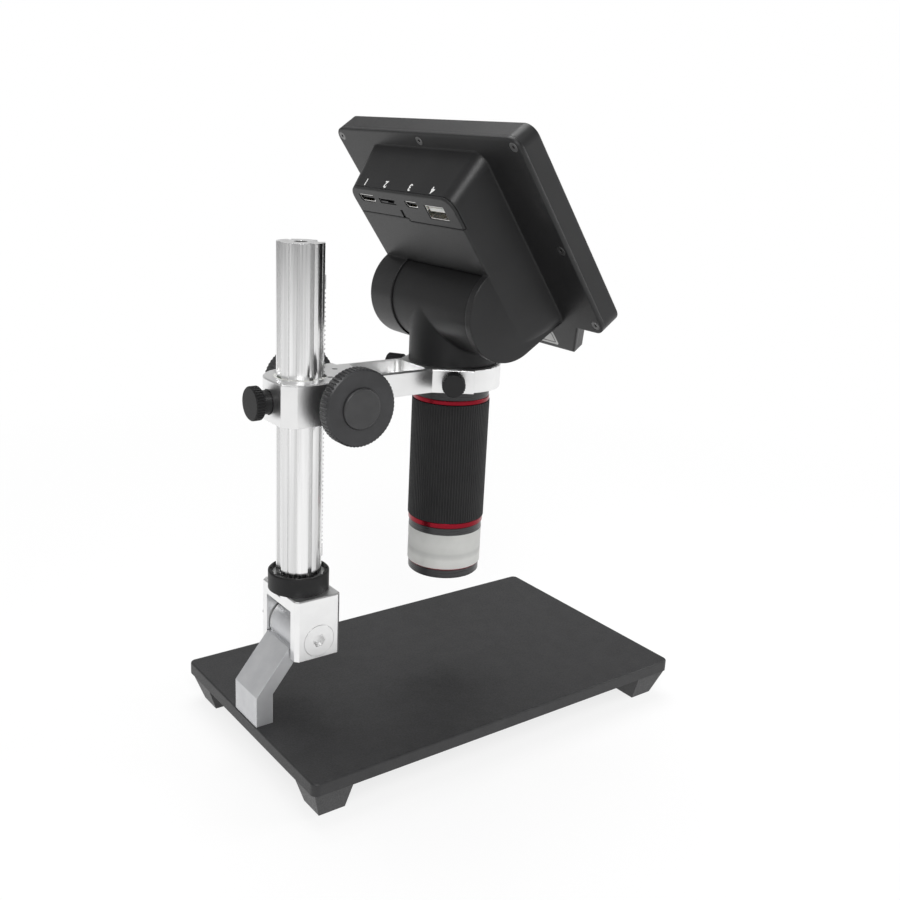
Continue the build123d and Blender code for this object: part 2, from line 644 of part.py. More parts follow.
with BuildPart() as pivot_bolt:
    with BuildSketch(along_y(PIVOT_X, -CLEVIS_WIDTH / 2, PIVOT_Z)):
        Circle(PIVOT_HEAD_R)
    with BuildSketch(along_y(PIVOT_X, -CLEVIS_WIDTH / 2 + PIVOT_HEAD_DEPTH, PIVOT_Z)):
        Circle(PIVOT_BOLT_R)
    loft()
    with BuildSketch(along_y(PIVOT_X, -CLEVIS_WIDTH / 2 + PIVOT_HEAD_DEPTH, PIVOT_Z)):
        Circle(PIVOT_BOLT_R)
    extrude(amount=CLEVIS_WIDTH - PIVOT_HEAD_DEPTH + PIVOT_NUT_THICKNESS + BRACKET_EDGE)
    with BuildSketch(along_y(PIVOT_X, -CLEVIS_WIDTH / 2, PIVOT_Z)):
        RegularPolygon(PIVOT_SOCKET_AF / 2, 6, major_radius=False)
    extrude(amount=PIVOT_SOCKET_DEPTH, mode=Mode.SUBTRACT)

with BuildPart() as pivot_nut:
    with BuildSketch(along_y(PIVOT_X, CLEVIS_WIDTH / 2, PIVOT_Z)):
        RegularPolygon(PIVOT_NUT_AF / 2, 6, major_radius=False)
        Circle(PIVOT_BOLT_R + RUN_GAP, mode=Mode.SUBTRACT)
    extrude(amount=PIVOT_NUT_THICKNESS)

with BuildPart() as pivot_washers:
    for washer_y in (-SLOT_WIDTH / 2 + FACE_GAP, SLOT_WIDTH / 2 - FACE_GAP - WASHER_THICKNESS):
        with BuildSketch(along_y(PIVOT_X, washer_y, PIVOT_Z)):
            Circle(min(WASHER_R, KNUCKLE_R))
            Circle(PIVOT_BOLT_R + SEAT_GAP, mode=Mode.SUBTRACT)
        extrude(amount=WASHER_THICKNESS)

column_screw_solid = headed_screw(
    COLUMN_SCREW_HEAD_R, COLUMN_SCREW_HEAD_HEIGHT, COLUMN_SCREW_R, COLUMN_SCREW_LENGTH,
    COLUMN_SCREW_R / 2)
with BuildPart() as column_screw:
    with Locations(Plane(origin=(COLUMN_X, 0, ROOF_Z), z_dir=(0, 0, -1))):
        add(column_screw_solid)

with BuildPart() as lock_collar:
    collar_bottom = CLEVIS_TOP + FACE_GAP
    with BuildSketch(Plane.XY.offset(collar_bottom)):
        with Locations((COLUMN_X, 0)):
            Circle(COLLAR_R)
            Circle(SPIGOT_R + RUN_GAP, mode=Mode.SUBTRACT)
    extrude(amount=COLLAR_HEIGHT)
    chamfer(lock_collar.edges().group_by(Axis.Z)[-1].sort_by(SortBy.LENGTH)[-1:], BRACKET_EDGE)
    with BuildSketch(Plane.XY.offset(COLLAR_TOP - COLLAR_NOTCH_DEPTH)):
        with Locations((COLUMN_X, 0)):
            with PolarLocations(SPIGOT_R, COLLAR_NOTCHES):
                Rectangle(COLLAR_NOTCH_WIDTH, COLLAR_NOTCH_WIDTH)
    extrude(amount=COLLAR_NOTCH_DEPTH, mode=Mode.SUBTRACT)

# ------------------------------------------------------------------ column and rack
rack_screw_heights = (RACK_BOTTOM + RACK_PLAIN_END / 2, RACK_TOP - RACK_PLAIN_END / 2)

with BuildPart() as column_extrusion:
    with BuildSketch(Plane.XY.offset(COLUMN_FOOT)):
        with Locations((COLUMN_X, 0)):
            Circle(COLUMN_R)
            Circle(COLUMN_CORE_R, mode=Mode.SUBTRACT)
        for side in (-1, 1):
            with Locations((COLUMN_X, side * COLUMN_R)):
                Rectangle(SIDE_SLOT_WIDTH, 2 * SIDE_SLOT_DEPTH, mode=Mode.SUBTRACT)
        with Locations((COLUMN_X - COLUMN_R, 0)):
            Rectangle(2 * BACK_SLOT_DEPTH, BACK_SLOT_WIDTH, mode=Mode.SUBTRACT)
        with Locations((COLUMN_X + RACK_SEAT + COLUMN_R / 2, 0)):
            Rectangle(COLUMN_R, RACK_WIDTH + 2 * SEAT_GAP, mode=Mode.SUBTRACT)
        with Locations((COLUMN_X, 0)):
            for flute_angle in (-FLUTE_SPREAD, FLUTE_SPREAD):
                with PolarLocations(COLUMN_R, 4, start_angle=45 + flute_angle):
                    Rectangle(2 * FLUTE_DEPTH, FLUTE_WIDTH, mode=Mode.SUBTRACT)
    extrude(amount=COLUMN_TOP - COLUMN_FOOT)
    for screw_z in rack_screw_heights:
        with Locations(along_x(COLUMN_X + RACK_SEAT, 0, screw_z)):
            Hole(RACK_SCREW_R + THREAD_GAP, depth=RACK_SCREW_LENGTH - RACK_TIP + RACK_SEAT + THREAD_RUNOUT)

tooth_tan = MODULE * 0.364 * (TOOTH_FLANK / 20.0)
first_gap = SHAFT_Z - PITCH * int((SHAFT_Z - RACK_BOTTOM - RACK_PLAIN_END) / PITCH)
gap_count = int((RACK_TOP - RACK_PLAIN_END - first_gap) / PITCH) + 1
gap_tip_half = PITCH / 4 + tooth_tan
gap_root_half = PITCH / 4 - 1.25 * tooth_tan

with BuildPart() as gear_rack:
    with BuildSketch(Plane.XZ):
        with BuildLine():
            rack_outline = [
                (COLUMN_X + RACK_SEAT, RACK_BOTTOM),
                (COLUMN_X + RACK_TIP, RACK_BOTTOM),
            ]
            for index in range(gap_count):
                gap_z = first_gap + index * PITCH
                rack_outline += [
                    (COLUMN_X + RACK_TIP, gap_z - gap_tip_half),
                    (COLUMN_X + RACK_ROOT, gap_z - gap_root_half),
                    (COLUMN_X + RACK_ROOT, gap_z + gap_root_half),
                    (COLUMN_X + RACK_TIP, gap_z + gap_tip_half),
                ]
            rack_outline += [
                (COLUMN_X + RACK_TIP, RACK_TOP),
                (COLUMN_X + RACK_SEAT, RACK_TOP),
            ]
            Polyline(*rack_outline, close=True)
        make_face()
    extrude(amount=RACK_WIDTH / 2, both=True)
    for screw_z in rack_screw_heights:
        with Locations(along_x(COLUMN_X + RACK_TIP, 0, screw_z)):
            CounterSinkHole(RACK_SCREW_R + THREAD_GAP, RACK_SCREW_HEAD_R + THREAD_GAP,
                            counter_sink_angle=90)

rack_screw = countersunk_screw(
    RACK_SCREW_HEAD_R, RACK_SCREW_R, RACK_SCREW_LENGTH, RACK_SCREW_R * 0.7)
with BuildPart() as rack_screws:
    for screw_z in rack_screw_heights:
        with Locations(along_x(COLUMN_X + RACK_TIP, 0, screw_z)):
            add(rack_screw)

# ------------------------------------------------------------------ pinion and knobs
cap_seat = KNOB_FACE + KNOB_CAP_PROUD - KNOB_CAP_THICKNESS
screw_seat = cap_seat - KNOB_SCREW_HEAD_HEIGHT - SEAT_GAP
shaft_end = screw_seat - KNOB_WEB
pinion_core_r = PINION_ROOT_R - MODULE / 4
pinion_tooth = (
    (pinion_core_r, -PITCH / 4 + TOOTH_THINNING - tooth_tan / 2),
    (PINION_PITCH_R, -PITCH / 4 + TOOTH_THINNING),
    (PINION_TIP_R, -PITCH / 4 + TOOTH_THINNING + tooth_tan),
    (PINION_TIP_R, PITCH / 4 - TOOTH_THINNING - tooth_tan),
    (PINION_PITCH_R, PITCH / 4 - TOOTH_THINNING),
    (pinion_core_r, PITCH / 4 - TOOTH_THINNING + tooth_tan / 2),
)

with BuildPart() as pinion_shaft:
    with BuildSketch(along_y(SHAFT_X, -PINION_WIDTH / 2, SHAFT_Z)):
        Circle(PINION_ROOT_R)
        for tooth in range(PINION_TEETH):
            with Locations(Rotation(0, 0, 180 + tooth * 360 / PINION_TEETH)):
                Polygon(*pinion_tooth, align=None)
    extrude(amount=PINION_WIDTH)
    with BuildSketch(along_y(SHAFT_X, -shaft_end, SHAFT_Z)):
        Circle(SHAFT_R)
    extrude(amount=2 * shaft_end)
    for side in (-1, 1):
        with BuildSketch(along_y(SHAFT_X, side * shaft_end, SHAFT_Z)):
            Circle(KNOB_SCREW_R + THREAD_GAP)
        extrude(amount=-side * KNOB_SCREW_LENGTH, mode=Mode.SUBTRACT)


def focus_knob(side):
    """A knurled knob: hub against the carriage, seats for its screw and cap outside."""
    with BuildPart() as knob:
        rim_plane = Plane(origin=(SHAFT_X, side * KNOB_BACK, SHAFT_Z), z_dir=(0, side, 0))
        add(knurled_disc(rim_plane, KNOB_R, KNOB_THICKNESS, KNOB_EDGE, KNOB_GROOVES, KNOB_GROOVE_R))
        with BuildSketch(along_y(SHAFT_X, side * (BLOCK_WIDTH / 2 + FACE_GAP), SHAFT_Z)):
            Circle(HUB_R)
        extrude(amount=side * (KNOB_BACK - BLOCK_WIDTH / 2 - FACE_GAP))
        with BuildSketch(along_y(SHAFT_X, side * KNOB_FACE, SHAFT_Z)):
            Circle(KNOB_CAP_R + SEAT_GAP)
        extrude(amount=-side * (KNOB_FACE - cap_seat), mode=Mode.SUBTRACT)
        with BuildSketch(along_y(SHAFT_X, side * cap_seat, SHAFT_Z)):
            Circle(KNOB_SCREW_HEAD_R + SEAT_GAP)
        extrude(amount=-side * (cap_seat - screw_seat), mode=Mode.SUBTRACT)
        with BuildSketch(along_y(SHAFT_X, side * screw_seat, SHAFT_Z)):
            Circle(KNOB_SCREW_R + SEAT_GAP)
        extrude(amount=-side * KNOB_WEB, mode=Mode.SUBTRACT)
        with BuildSketch(along_y(SHAFT_X, side * shaft_end, SHAFT_Z)):
            Circle(SHAFT_R + THREAD_GAP)
        extrude(amount=-side * shaft_end, mode=Mode.SUBTRACT)
    return knob


focus_knob_near = focus_knob(-1)
focus_knob_far = focus_knob(1)

knob_screw = headed_screw(KNOB_SCREW_HEAD_R, KNOB_SCREW_HEAD_HEIGHT, KNOB_SCREW_R,
                          KNOB_SCREW_LENGTH, KNOB_SCREW_R / 2)
with BuildPart() as knob_screws:
    for side in (-1, 1):
        screw_plane = Plane(origin=(SHAFT_X, side * screw_seat, SHAFT_Z), z_dir=(0, side, 0))
        with Locations(screw_plane):
            add(knob_screw)

with BuildPart() as knob_caps:
    for side in (-1, 1):
        with BuildSketch(along_y(SHAFT_X, side * cap_seat, SHAFT_Z)):
            Circle(KNOB_CAP_R)
        extrude(amount=side * KNOB_CAP_THICKNESS)
    for end in (0, -1):
        fillet(knob_caps.edges().group_by(Axis.Y)[end], KNOB_CAP_EDGE)

# ------------------------------------------------------------------ carriage
with BuildPart() as carriage_arm:
    with BuildSketch(Plane.XY.offset(BLOCK_BOTTOM)):
        with Locations((COLUMN_X + (BLOCK_FRONT - BLOCK_BACK) / 2, 0)):
            Rectangle(BLOCK_FRONT + BLOCK_BACK, BLOCK_WIDTH)
    extrude(amount=BLOCK_HEIGHT)
    upright_edges = carriage_arm.edges().filter_by(Axis.Z)
    chamfer(upright_edges.group_by(Axis.X)[0].sort_by(Axis.Y)[:1], BLOCK_CORNER)
    upright_edges = carriage_arm.edges().filter_by(Axis.Z)
    fillet(upright_edges.group_by(Axis.X)[0].sort_by(Axis.Y)[-1:], BLOCK_FAR_R)
    with BuildSketch(Plane.XY.offset(ARM_BOTTOM)):
        with Locations(((COLUMN_X + RING_X) / 2, 0)):
            Rectangle(RING_X - COLUMN_X, ARM_WIDTH)
        with Locations((RING_X, 0)):
            Circle(RING_R)
        for side in (-1, 1):
            with Locations(Location((RING_X, 0), 180 + side * RING_PAD_ANGLE)):
                Rectangle(RING_PAD_DISTANCE, RING_PAD_WIDTH, align=(Align.MIN, Align.CENTER))
    extrude(amount=ARM_HEIGHT)
    chamfer(carriage_arm.faces().sort_by(Axis.Z)[-1].edges(), ARM_EDGE)
    with BuildSketch(Plane.XY.offset(ARM_TOP - POCKET_DEPTH)):
        pocket_start = COLUMN_X + POCKET_START
        with Locations(((pocket_start + POCKET_END) / 2, 0)):
            RectangleRounded(POCKET_END - pocket_start, ARM_WIDTH - 2 * POCKET_WALL, POCKET_CORNER_R)
    extrude(amount=POCKET_DEPTH, mode=Mode.SUBTRACT)
    with BuildSketch(Plane.XY.offset(BLOCK_BOTTOM)):
        with Locations((RING_X, 0)):
            Circle(RING_BORE_R)
        with Locations((COLUMN_X, 0)):
            Circle(BLOCK_BORE_R)
    extrude(amount=BLOCK_HEIGHT, mode=Mode.SUBTRACT)
    with BuildSketch(along_y(SHAFT_X, -PINION_WIDTH / 2 - PINION_POCKET_GAP, SHAFT_Z)):
        Circle(PINION_TIP_R + PINION_POCKET_GAP)
    extrude(amount=PINION_WIDTH + 2 * PINION_POCKET_GAP, mode=Mode.SUBTRACT)
    with BuildSketch(along_y(SHAFT_X, -BLOCK_WIDTH / 2, SHAFT_Z)):
        Circle(BUSH_R)
    extrude(amount=BLOCK_WIDTH, mode=Mode.SUBTRACT)
    with Locations(Location((0, 0, ARM_TOP))):
        with Locations(*SET_SCREWS_AT):
            Hole(SET_SCREW_R, depth=SET_SCREW_DEPTH)
    with BuildSketch(along_x(COLUMN_X - BLOCK_BACK, 0, LOCK_Z)):
        Circle(LOCK_THREAD_R + RUN_GAP)
    extrude(amount=BLOCK_BACK - COLUMN_R, mode=Mode.SUBTRACT)
    with BuildSketch(along_x(COLUMN_X - BLOCK_BACK, 0, LOCK_Z)):
        Circle(LOCK_STEM_R + MOVE_GAP)
    extrude(amount=LOCK_SEAT_DEPTH, mode=Mode.SUBTRACT)
    for side in (-1, 1):
        with BuildSketch(ring_screw_plane(side, RING_PAD_DISTANCE)):
            Circle(CLAMP_THREAD_R + RUN_GAP)
        extrude(amount=TUBE_R - RING_PAD_DISTANCE - THREAD_RUNOUT, mode=Mode.SUBTRACT)

with BuildPart() as guide_sleeve:
    with BuildSketch(Plane.XY.offset(BLOCK_BOTTOM)):
        with Locations((COLUMN_X, 0)):
            Circle(BLOCK_BORE_R - PRESS_GAP)
            Circle(SLEEVE_BORE_R, mode=Mode.SUBTRACT)
        with Locations((COLUMN_X + BLOCK_BORE_R, 0)):
            Rectangle(BLOCK_BORE_R, SLEEVE_SLOT, mode=Mode.SUBTRACT)
    extrude(amount=BLOCK_HEIGHT)
    with BuildSketch(along_x(COLUMN_X - BLOCK_BORE_R, 0, LOCK_Z)):
        Circle(LOCK_THREAD_R + RUN_GAP)
    extrude(amount=BLOCK_BORE_R / 2, mode=Mode.SUBTRACT)

with BuildPart() as shaft_bushes:
    for side in (-1, 1):
        with BuildSketch(along_y(SHAFT_X, side * BUSH_START, SHAFT_Z)):
            Circle(BUSH_R - PRESS_GAP)
            Circle(SHAFT_R + RUN_GAP, mode=Mode.SUBTRACT)
        extrude(amount=side * (BLOCK_WIDTH / 2 - BUSH_START))

with BuildPart() as set_screws:
    with Locations(Location((0, 0, ARM_TOP - SEAT_GAP))):
        with Locations(*SET_SCREWS_AT):
            Cylinder(SET_SCREW_R - THREAD_GAP, SET_SCREW_LENGTH,
                     align=(Align.CENTER, Align.CENTER, Align.MAX))


def thumb_screw(plane, head, stem, thread, groove_count, groove_r):
    """A knurled thumb screw built outwards from a seat plane; its three parts are (radius, length)."""
    with BuildPart() as screw:
        with BuildSketch(plane):
            Circle(stem[0])
        extrude(amount=stem[1])
        add(knurled_disc(plane.offset(stem[1]), head[0], head[1], THUMB_EDGE, groove_count, groove_r))
        with BuildSketch(plane):
            Circle(thread[0])
        extrude(amount=-thread[1])
    return screw


def ring_screw(side):
    """One of the two thumb screws that hold the barrel in the ring."""
    return thumb_screw(
        ring_screw_plane(side, RING_PAD_DISTANCE + FACE_GAP),
        (CLAMP_HEAD_R, CLAMP_HEAD_THICKNESS),
        (CLAMP_STEM_R, CLAMP_STEM_LENGTH),
        (CLAMP_THREAD_R, RING_PAD_DISTANCE - TUBE_R - CLAMP_TIP_GAP),
        CLAMP_GROOVES,
        CLAMP_GROOVE_R,
    )


column_lock_screw = thumb_screw(
    Plane(origin=(COLUMN_X - BLOCK_BACK + LOCK_SEAT_DEPTH - FACE_GAP, 0, LOCK_Z), z_dir=(-1, 0, 0)),
    (LOCK_HEAD_R, LOCK_HEAD_THICKNESS),
    (LOCK_STEM_R, LOCK_STEM_LENGTH),
    (LOCK_THREAD_R, LOCK_THREAD_LENGTH),
    LOCK_GROOVES,
    LOCK_GROOVE_R,
)
ring_screw_near = ring_screw(1)
ring_screw_far = ring_screw(-1)

with BuildPart() as lock_pad:
    pad_tip = COLUMN_X - COLUMN_R + BACK_SLOT_DEPTH - SEAT_GAP
    pad_shoulder = COLUMN_X - COLUMN_R - MOVE_GAP
    with BuildSketch(along_x(pad_shoulder, 0, LOCK_Z)):
        Circle(LOCK_THREAD_R - SEAT_GAP)
    extrude(amount=-LOCK_PAD_LENGTH)
    with BuildSketch(along_x(pad_tip, 0, LOCK_Z)):
        Circle(BACK_SLOT_WIDTH / 2 - SEAT_GAP)
    extrude(amount=pad_shoulder - pad_tip)

# ------------------------------------------------------------------ microscope barrel
def on_scope(z):
    """Plane across the microscope's axis."""
    return Plane(origin=(RING_X, 0, z))


def scope_disc(bottom, top, outer, inner=0.0):
    """A disc or ring on the microscope's axis."""
    with BuildPart() as disc:
        with BuildSketch(on_scope(bottom)):
            Circle(outer)
            if inner:
                Circle(inner, mode=Mode.SUBTRACT)
        extrude(amount=top - bottom)
    return disc


with BuildPart() as main_tube:
    for step_bottom, step_top, step_r in (
        (SHOULDER_Z, TUBE_TOP, TUBE_R),
        (HOOD_TOP, SHOULDER_Z, TUBE_LOWER_R),
        (TUBE_BOTTOM, HOOD_TOP, TUBE_END_R),
    ):
        with BuildSketch(on_scope(step_bottom)):
            Circle(step_r)
            Circle(TUBE_BORE_R, mode=Mode.SUBTRACT)
        extrude(amount=step_top - step_bottom)
    slot_height = 2 * (LENS_TRAVEL + DRIVE_PIN_R + MOVE_GAP)
    with BuildSketch(drive_pin_plane(DRIVE_PIN_Z)):
        SlotOverall(slot_height, 2 * (DRIVE_PIN_R + SEAT_GAP), rotation=90)
    extrude(amount=TUBE_R, mode=Mode.SUBTRACT)

with BuildPart() as lower_collar:
    with BuildSketch(on_scope(HOOD_TOP)):
        Circle(COLLAR_BAND_R)
        Circle(TUBE_LOWER_R + PRESS_GAP, mode=Mode.SUBTRACT)
    extrude(amount=BAND_TOP - HOOD_TOP)

light_hood = scope_disc(HOOD_BOTTOM, HOOD_TOP, HOOD_R, HOOD_BORE_R)
seal_ring = scope_disc(CAP_TOP, HOOD_BOTTOM, SEAL_R, HOOD_BORE_R)

with BuildPart() as lens_cap:
    with BuildSketch(on_scope(CAP_BOTTOM)):
        Circle(CAP_R)
    extrude(amount=CAP_TOP - CAP_BOTTOM)
    chamfer(lens_cap.faces().sort_by(Axis.Z)[0].edges(), SEAL_THICKNESS)
    with BuildSketch(on_scope(CAP_TOP)):
        Circle(HOOD_BORE_R - SEAT_GAP)
    extrude(amount=CAP_SPIGOT_HEIGHT)
    with BuildSketch(on_scope(CAP_BOTTOM)):
        Circle(CAP_WINDOW_R)
    extrude(amount=FILTER_SEAT, mode=Mode.SUBTRACT)
    with BuildSketch(on_scope(CAP_BOTTOM + FILTER_SEAT)):
        Circle(FILTER_R + SEAT_GAP)
    extrude(until=Until.LAST, mode=Mode.SUBTRACT)

filter_bottom = CAP_BOTTOM + FILTER_SEAT
filter_glass = scope_disc(filter_bottom, filter_bottom + FILTER_THICKNESS, FILTER_R)

led_board = scope_disc(TUBE_BOTTOM - LED_BOARD_THICKNESS, TUBE_BOTTOM, TUBE_END_R, LED_BOARD_HOLE_R)
with BuildPart() as leds:
    with BuildSketch(on_scope(TUBE_BOTTOM - LED_BOARD_THICKNESS)):
        with PolarLocations(LED_PITCH_R, LED_COUNT):
            Circle(LED_R)
    extrude(amount=-LED_LENGTH)
    fillet(leds.edges().group_by(Axis.Z)[0], LED_R * 0.6)

with BuildPart() as cam_groove:
    groove_start = DRIVE_PIN_Z - GROOVE_PITCH * DRIVE_PIN_ANGLE / 360
    groove_radius = TUBE_LOWER_R + GROOVE_DEPTH / 2
    with BuildLine() as groove_path:
        Helix(GROOVE_PITCH, 2 * GROOVE_PITCH * DRIVE_PIN_ANGLE / 360, groove_radius,
              center=(RING_X, 0, groove_start))
    with BuildSketch(Plane(origin=groove_path.line @ 0, x_dir=(1, 0, 0), z_dir=groove_path.line % 0)):
        Rectangle(GROOVE_DEPTH + GROOVE_OVERCUT, 2 * (DRIVE_PIN_R + SEAT_GAP))
    sweep(is_frenet=True)

with BuildPart() as focus_sleeve:
    with BuildSketch(on_scope(SLEEVE_BOTTOM)):
        Circle(FOCUS_SLEEVE_R)
        Circle(TUBE_LOWER_R + RUN_GAP, mode=Mode.SUBTRACT)
    extrude(amount=SLEEVE_TOP - SLEEVE_BOTTOM)
    add(cam_groove.part, mode=Mode.SUBTRACT)

with BuildPart() as focus_rings:
    for ring_bottom, ring_height in (
        (SLEEVE_BOTTOM, LOWER_RING_HEIGHT),
        (GRIP_TOP, UPPER_RING_HEIGHT),
    ):
        with BuildSketch(on_scope(ring_bottom)):
            Circle(FOCUS_RING_R)
            Circle(FOCUS_SLEEVE_R + PRESS_GAP, mode=Mode.SUBTRACT)
        extrude(amount=ring_height)
    chamfer(focus_rings.edges().group_by(SortBy.LENGTH)[-1], FOCUS_RING_EDGE)

with BuildPart() as rubber_grip:
    with BuildSketch(on_scope(GRIP_BOTTOM)):
        Circle(GRIP_R)
        with PolarLocations(GRIP_R, GRIP_RIBS):
            Circle(GRIP_RIB_R, mode=Mode.SUBTRACT)
        Circle(FOCUS_SLEEVE_R + PRESS_GAP, mode=Mode.SUBTRACT)
    extrude(amount=GRIP_TOP - GRIP_BOTTOM)

with BuildPart() as lens_cell:
    with BuildSketch(on_scope(LENS_CELL_BOTTOM)):
        Circle(LENS_CELL_R)
        Circle(LENS_CELL_BORE_R, mode=Mode.SUBTRACT)
    extrude(amount=LENS_CELL_LENGTH)
    for pocket_bottom in (LENS_CELL_BOTTOM, LENS_CELL_BOTTOM + LENS_CELL_LENGTH - LENS_POCKET_DEPTH):
        with BuildSketch(on_scope(pocket_bottom)):
            Circle(LENS_R + SEAT_GAP)
        extrude(amount=LENS_POCKET_DEPTH, mode=Mode.SUBTRACT)
    with BuildSketch(drive_pin_plane(DRIVE_PIN_Z, (LENS_CELL_R + LENS_CELL_BORE_R) / 2)):
        Circle(DRIVE_PIN_R)
    extrude(amount=DRIVE_PIN_REACH - (LENS_CELL_R + LENS_CELL_BORE_R) / 2)


def lens(seat, away):
    """A lens with its flat on a seat and its bulge pointing away from it."""
    edge = seat + away * LENS_EDGE
    crown = edge + away * LENS_BULGE
    with BuildPart() as glass:
        with BuildSketch(Plane(origin=(RING_X, 0, 0), x_dir=(1, 0, 0), z_dir=(0, -1, 0))):
            with BuildLine():
                Polyline((0, crown), (0, seat), (LENS_R, seat), (LENS_R, edge))
                TangentArc((0, crown), (LENS_R, edge), tangent=(1, 0))
            make_face()
        revolve(axis=Axis((RING_X, 0, 0), (0, 0, 1)))
    return glass.part


with BuildPart() as lenses:
    add(lens(LENS_CELL_BOTTOM + LENS_POCKET_DEPTH, -1))
    add(lens(LENS_CELL_BOTTOM + LENS_CELL_LENGTH - LENS_POCKET_DEPTH, 1))

with BuildPart() as image_board:
    with BuildSketch(on_scope(TUBE_TOP)):
        Circle(IMAGE_BOARD_R)
    extrude(amount=IMAGE_BOARD_THICKNESS)
    with BuildSketch(on_scope(TUBE_TOP)):
        Rectangle(SENSOR_SIZE, SENSOR_SIZE)
    extrude(amount=-SENSOR_THICKNESS)

# ------------------------------------------------------------------ neck and tilt barrel
def across_scope(y):
    """Plane across the tilt axis, its normal along +Y."""
    return along_y(RING_X, y, TILT_Z)


with BuildPart() as neck_shell:
    with BuildSketch(on_scope(NECK_BOTTOM)):
        Circle(NECK_R)
    extrude(amount=TILT_Z - NECK_BOTTOM)
    with BuildSketch(across_scope(PIVOT_BARREL_NEAR)):
        Circle(NECK_R)
    extrude(amount=PIVOT_BARREL_FAR - PIVOT_BARREL_NEAR)
    with BuildSketch(on_scope(NECK_BOTTOM + NECK_FLOOR)):
        Circle(NECK_R - SHELL_WALL)
    extrude(amount=TILT_Z - NECK_BOTTOM - NECK_FLOOR, mode=Mode.SUBTRACT)
    with BuildSketch(across_scope(PIVOT_BARREL_NEAR + SHELL_WALL)):
        Circle(NECK_R - SHELL_WALL)
    extrude(amount=PIVOT_BARREL_FAR - PIVOT_BARREL_NEAR - 2 * SHELL_WALL, mode=Mode.SUBTRACT)
    with BuildSketch(on_scope(NECK_BOTTOM)):
        Circle(TUBE_R + PRESS_GAP)
    extrude(amount=NECK_FLOOR, mode=Mode.SUBTRACT)
    with BuildSketch(across_scope(PIVOT_BARREL_NEAR)):
        Circle(NEAR_HUB_R)
    extrude(amount=-NEAR_HUB_LENGTH)
    with BuildSketch(across_scope(PIVOT_BARREL_FAR - SHELL_WALL)):
        Circle(SPINDLE_R + PRESS_GAP)
    extrude(amount=SHELL_WALL, mode=Mode.SUBTRACT)

spindle_start = PIVOT_BARREL_FAR - SHELL_WALL - SPINDLE_FLANGE_THICKNESS
washer_start = DRUM_WALL + FACE_GAP
nut_start = washer_start + HINGE_WASHER_THICKNESS
nut_end = nut_start + HINGE_NUT_THICKNESS

with BuildPart() as hinge_spindle:
    with BuildSketch(across_scope(spindle_start)):
        Circle(SPINDLE_FLANGE_R)
    extrude(amount=SPINDLE_FLANGE_THICKNESS)
    with BuildSketch(across_scope(spindle_start)):
        Circle(SPINDLE_R)
    extrude(amount=nut_end + SPINDLE_END - spindle_start)
    with BuildSketch(across_scope(spindle_start)):
        Circle(SPINDLE_BORE_R)
    extrude(amount=nut_end + SPINDLE_END - spindle_start, mode=Mode.SUBTRACT)

with BuildPart() as hinge_washer:
    with BuildSketch(across_scope(washer_start)):
        Circle(HINGE_WASHER_R)
        Circle(SPINDLE_R + PRESS_GAP, mode=Mode.SUBTRACT)
    extrude(amount=HINGE_WASHER_THICKNESS)

with BuildPart() as hinge_nut:
    with BuildSketch(across_scope(nut_start)):
        RegularPolygon(HINGE_NUT_AF / 2, 6, major_radius=False)
        Circle(SPINDLE_R + PRESS_GAP, mode=Mode.SUBTRACT)
    extrude(amount=HINGE_NUT_THICKNESS)

# ------------------------------------------------------------------ head's rear shell
with BuildPart() as hump_outer:
    with BuildSketch(head_side(0)):
        Circle(EAR_R)
        Polygon(
            (HUMP_REAR, 0),
            (0, -EAR_R),
            (BACK_N, HUMP_BOTTOM),
            (BACK_N, CAVITY_BOTTOM),
            (HUMP_REAR, CAVITY_BOTTOM),
            align=None,
        )
    extrude(amount=HUMP_HALF_WIDTH, both=True)
    with BuildSketch(head_at(0, (HUMP_TOP + HUMP_FOOT) / 2, HUMP_REAR)):
        RectangleRounded(2 * HUMP_HALF_WIDTH, HUMP_TOP - HUMP_FOOT, HUMP_CORNER_R)
    with BuildSketch(head_at(0, (HUMP_TOP_AT_COVER + HUMP_BOTTOM) / 2, BACK_N)):
        RectangleRounded(2 * (HUMP_HALF_WIDTH + HUMP_FLARE), HUMP_TOP_AT_COVER - HUMP_BOTTOM,
                         HUMP_CORNER_R)
    loft()
    rear_rim = [
        edge
        for edge in hump_outer.edges()
        if abs(HEAD.to_local_coords(edge.center()).Z - HUMP_REAR) < SEAT_GAP
        and HEAD.to_local_coords(edge.center()).Y > EAR_R
    ]
    fillet(rear_rim, HUMP_EDGE_R)


def module_outline(shrink=0.0):
    """Draw the head's outline, screen rectangle and button tab together."""
    with Locations((0, MODULE_MIDDLE)):
        RectangleRounded(2 * (MODULE_HALF_WIDTH - shrink), MODULE_HEIGHT - 2 * shrink,
                         MODULE_CORNER_R - shrink)
    Polygon(
        (-TAB_TOP_HALF_WIDTH + shrink, MODULE_BOTTOM + 2 * MODULE_CORNER_R),
        (-TAB_TOP_HALF_WIDTH + shrink, MODULE_BOTTOM),
        (-TAB_BOTTOM_HALF_WIDTH + shrink, TAB_BOTTOM + shrink),
        (TAB_BOTTOM_HALF_WIDTH - shrink, TAB_BOTTOM + shrink),
        (TAB_TOP_HALF_WIDTH - shrink, MODULE_BOTTOM),
        (TAB_TOP_HALF_WIDTH - shrink, MODULE_BOTTOM + 2 * MODULE_CORNER_R),
        align=None,
    )


cover_screw_places = [(x, up) for x in (-COVER_SCREW_X, 0, COVER_SCREW_X) for up in COVER_SCREW_UPS]
cover_screw_places += [(-COVER_SCREW_X, COVER_SCREW_MID), (COVER_SCREW_X, COVER_SCREW_MID)]

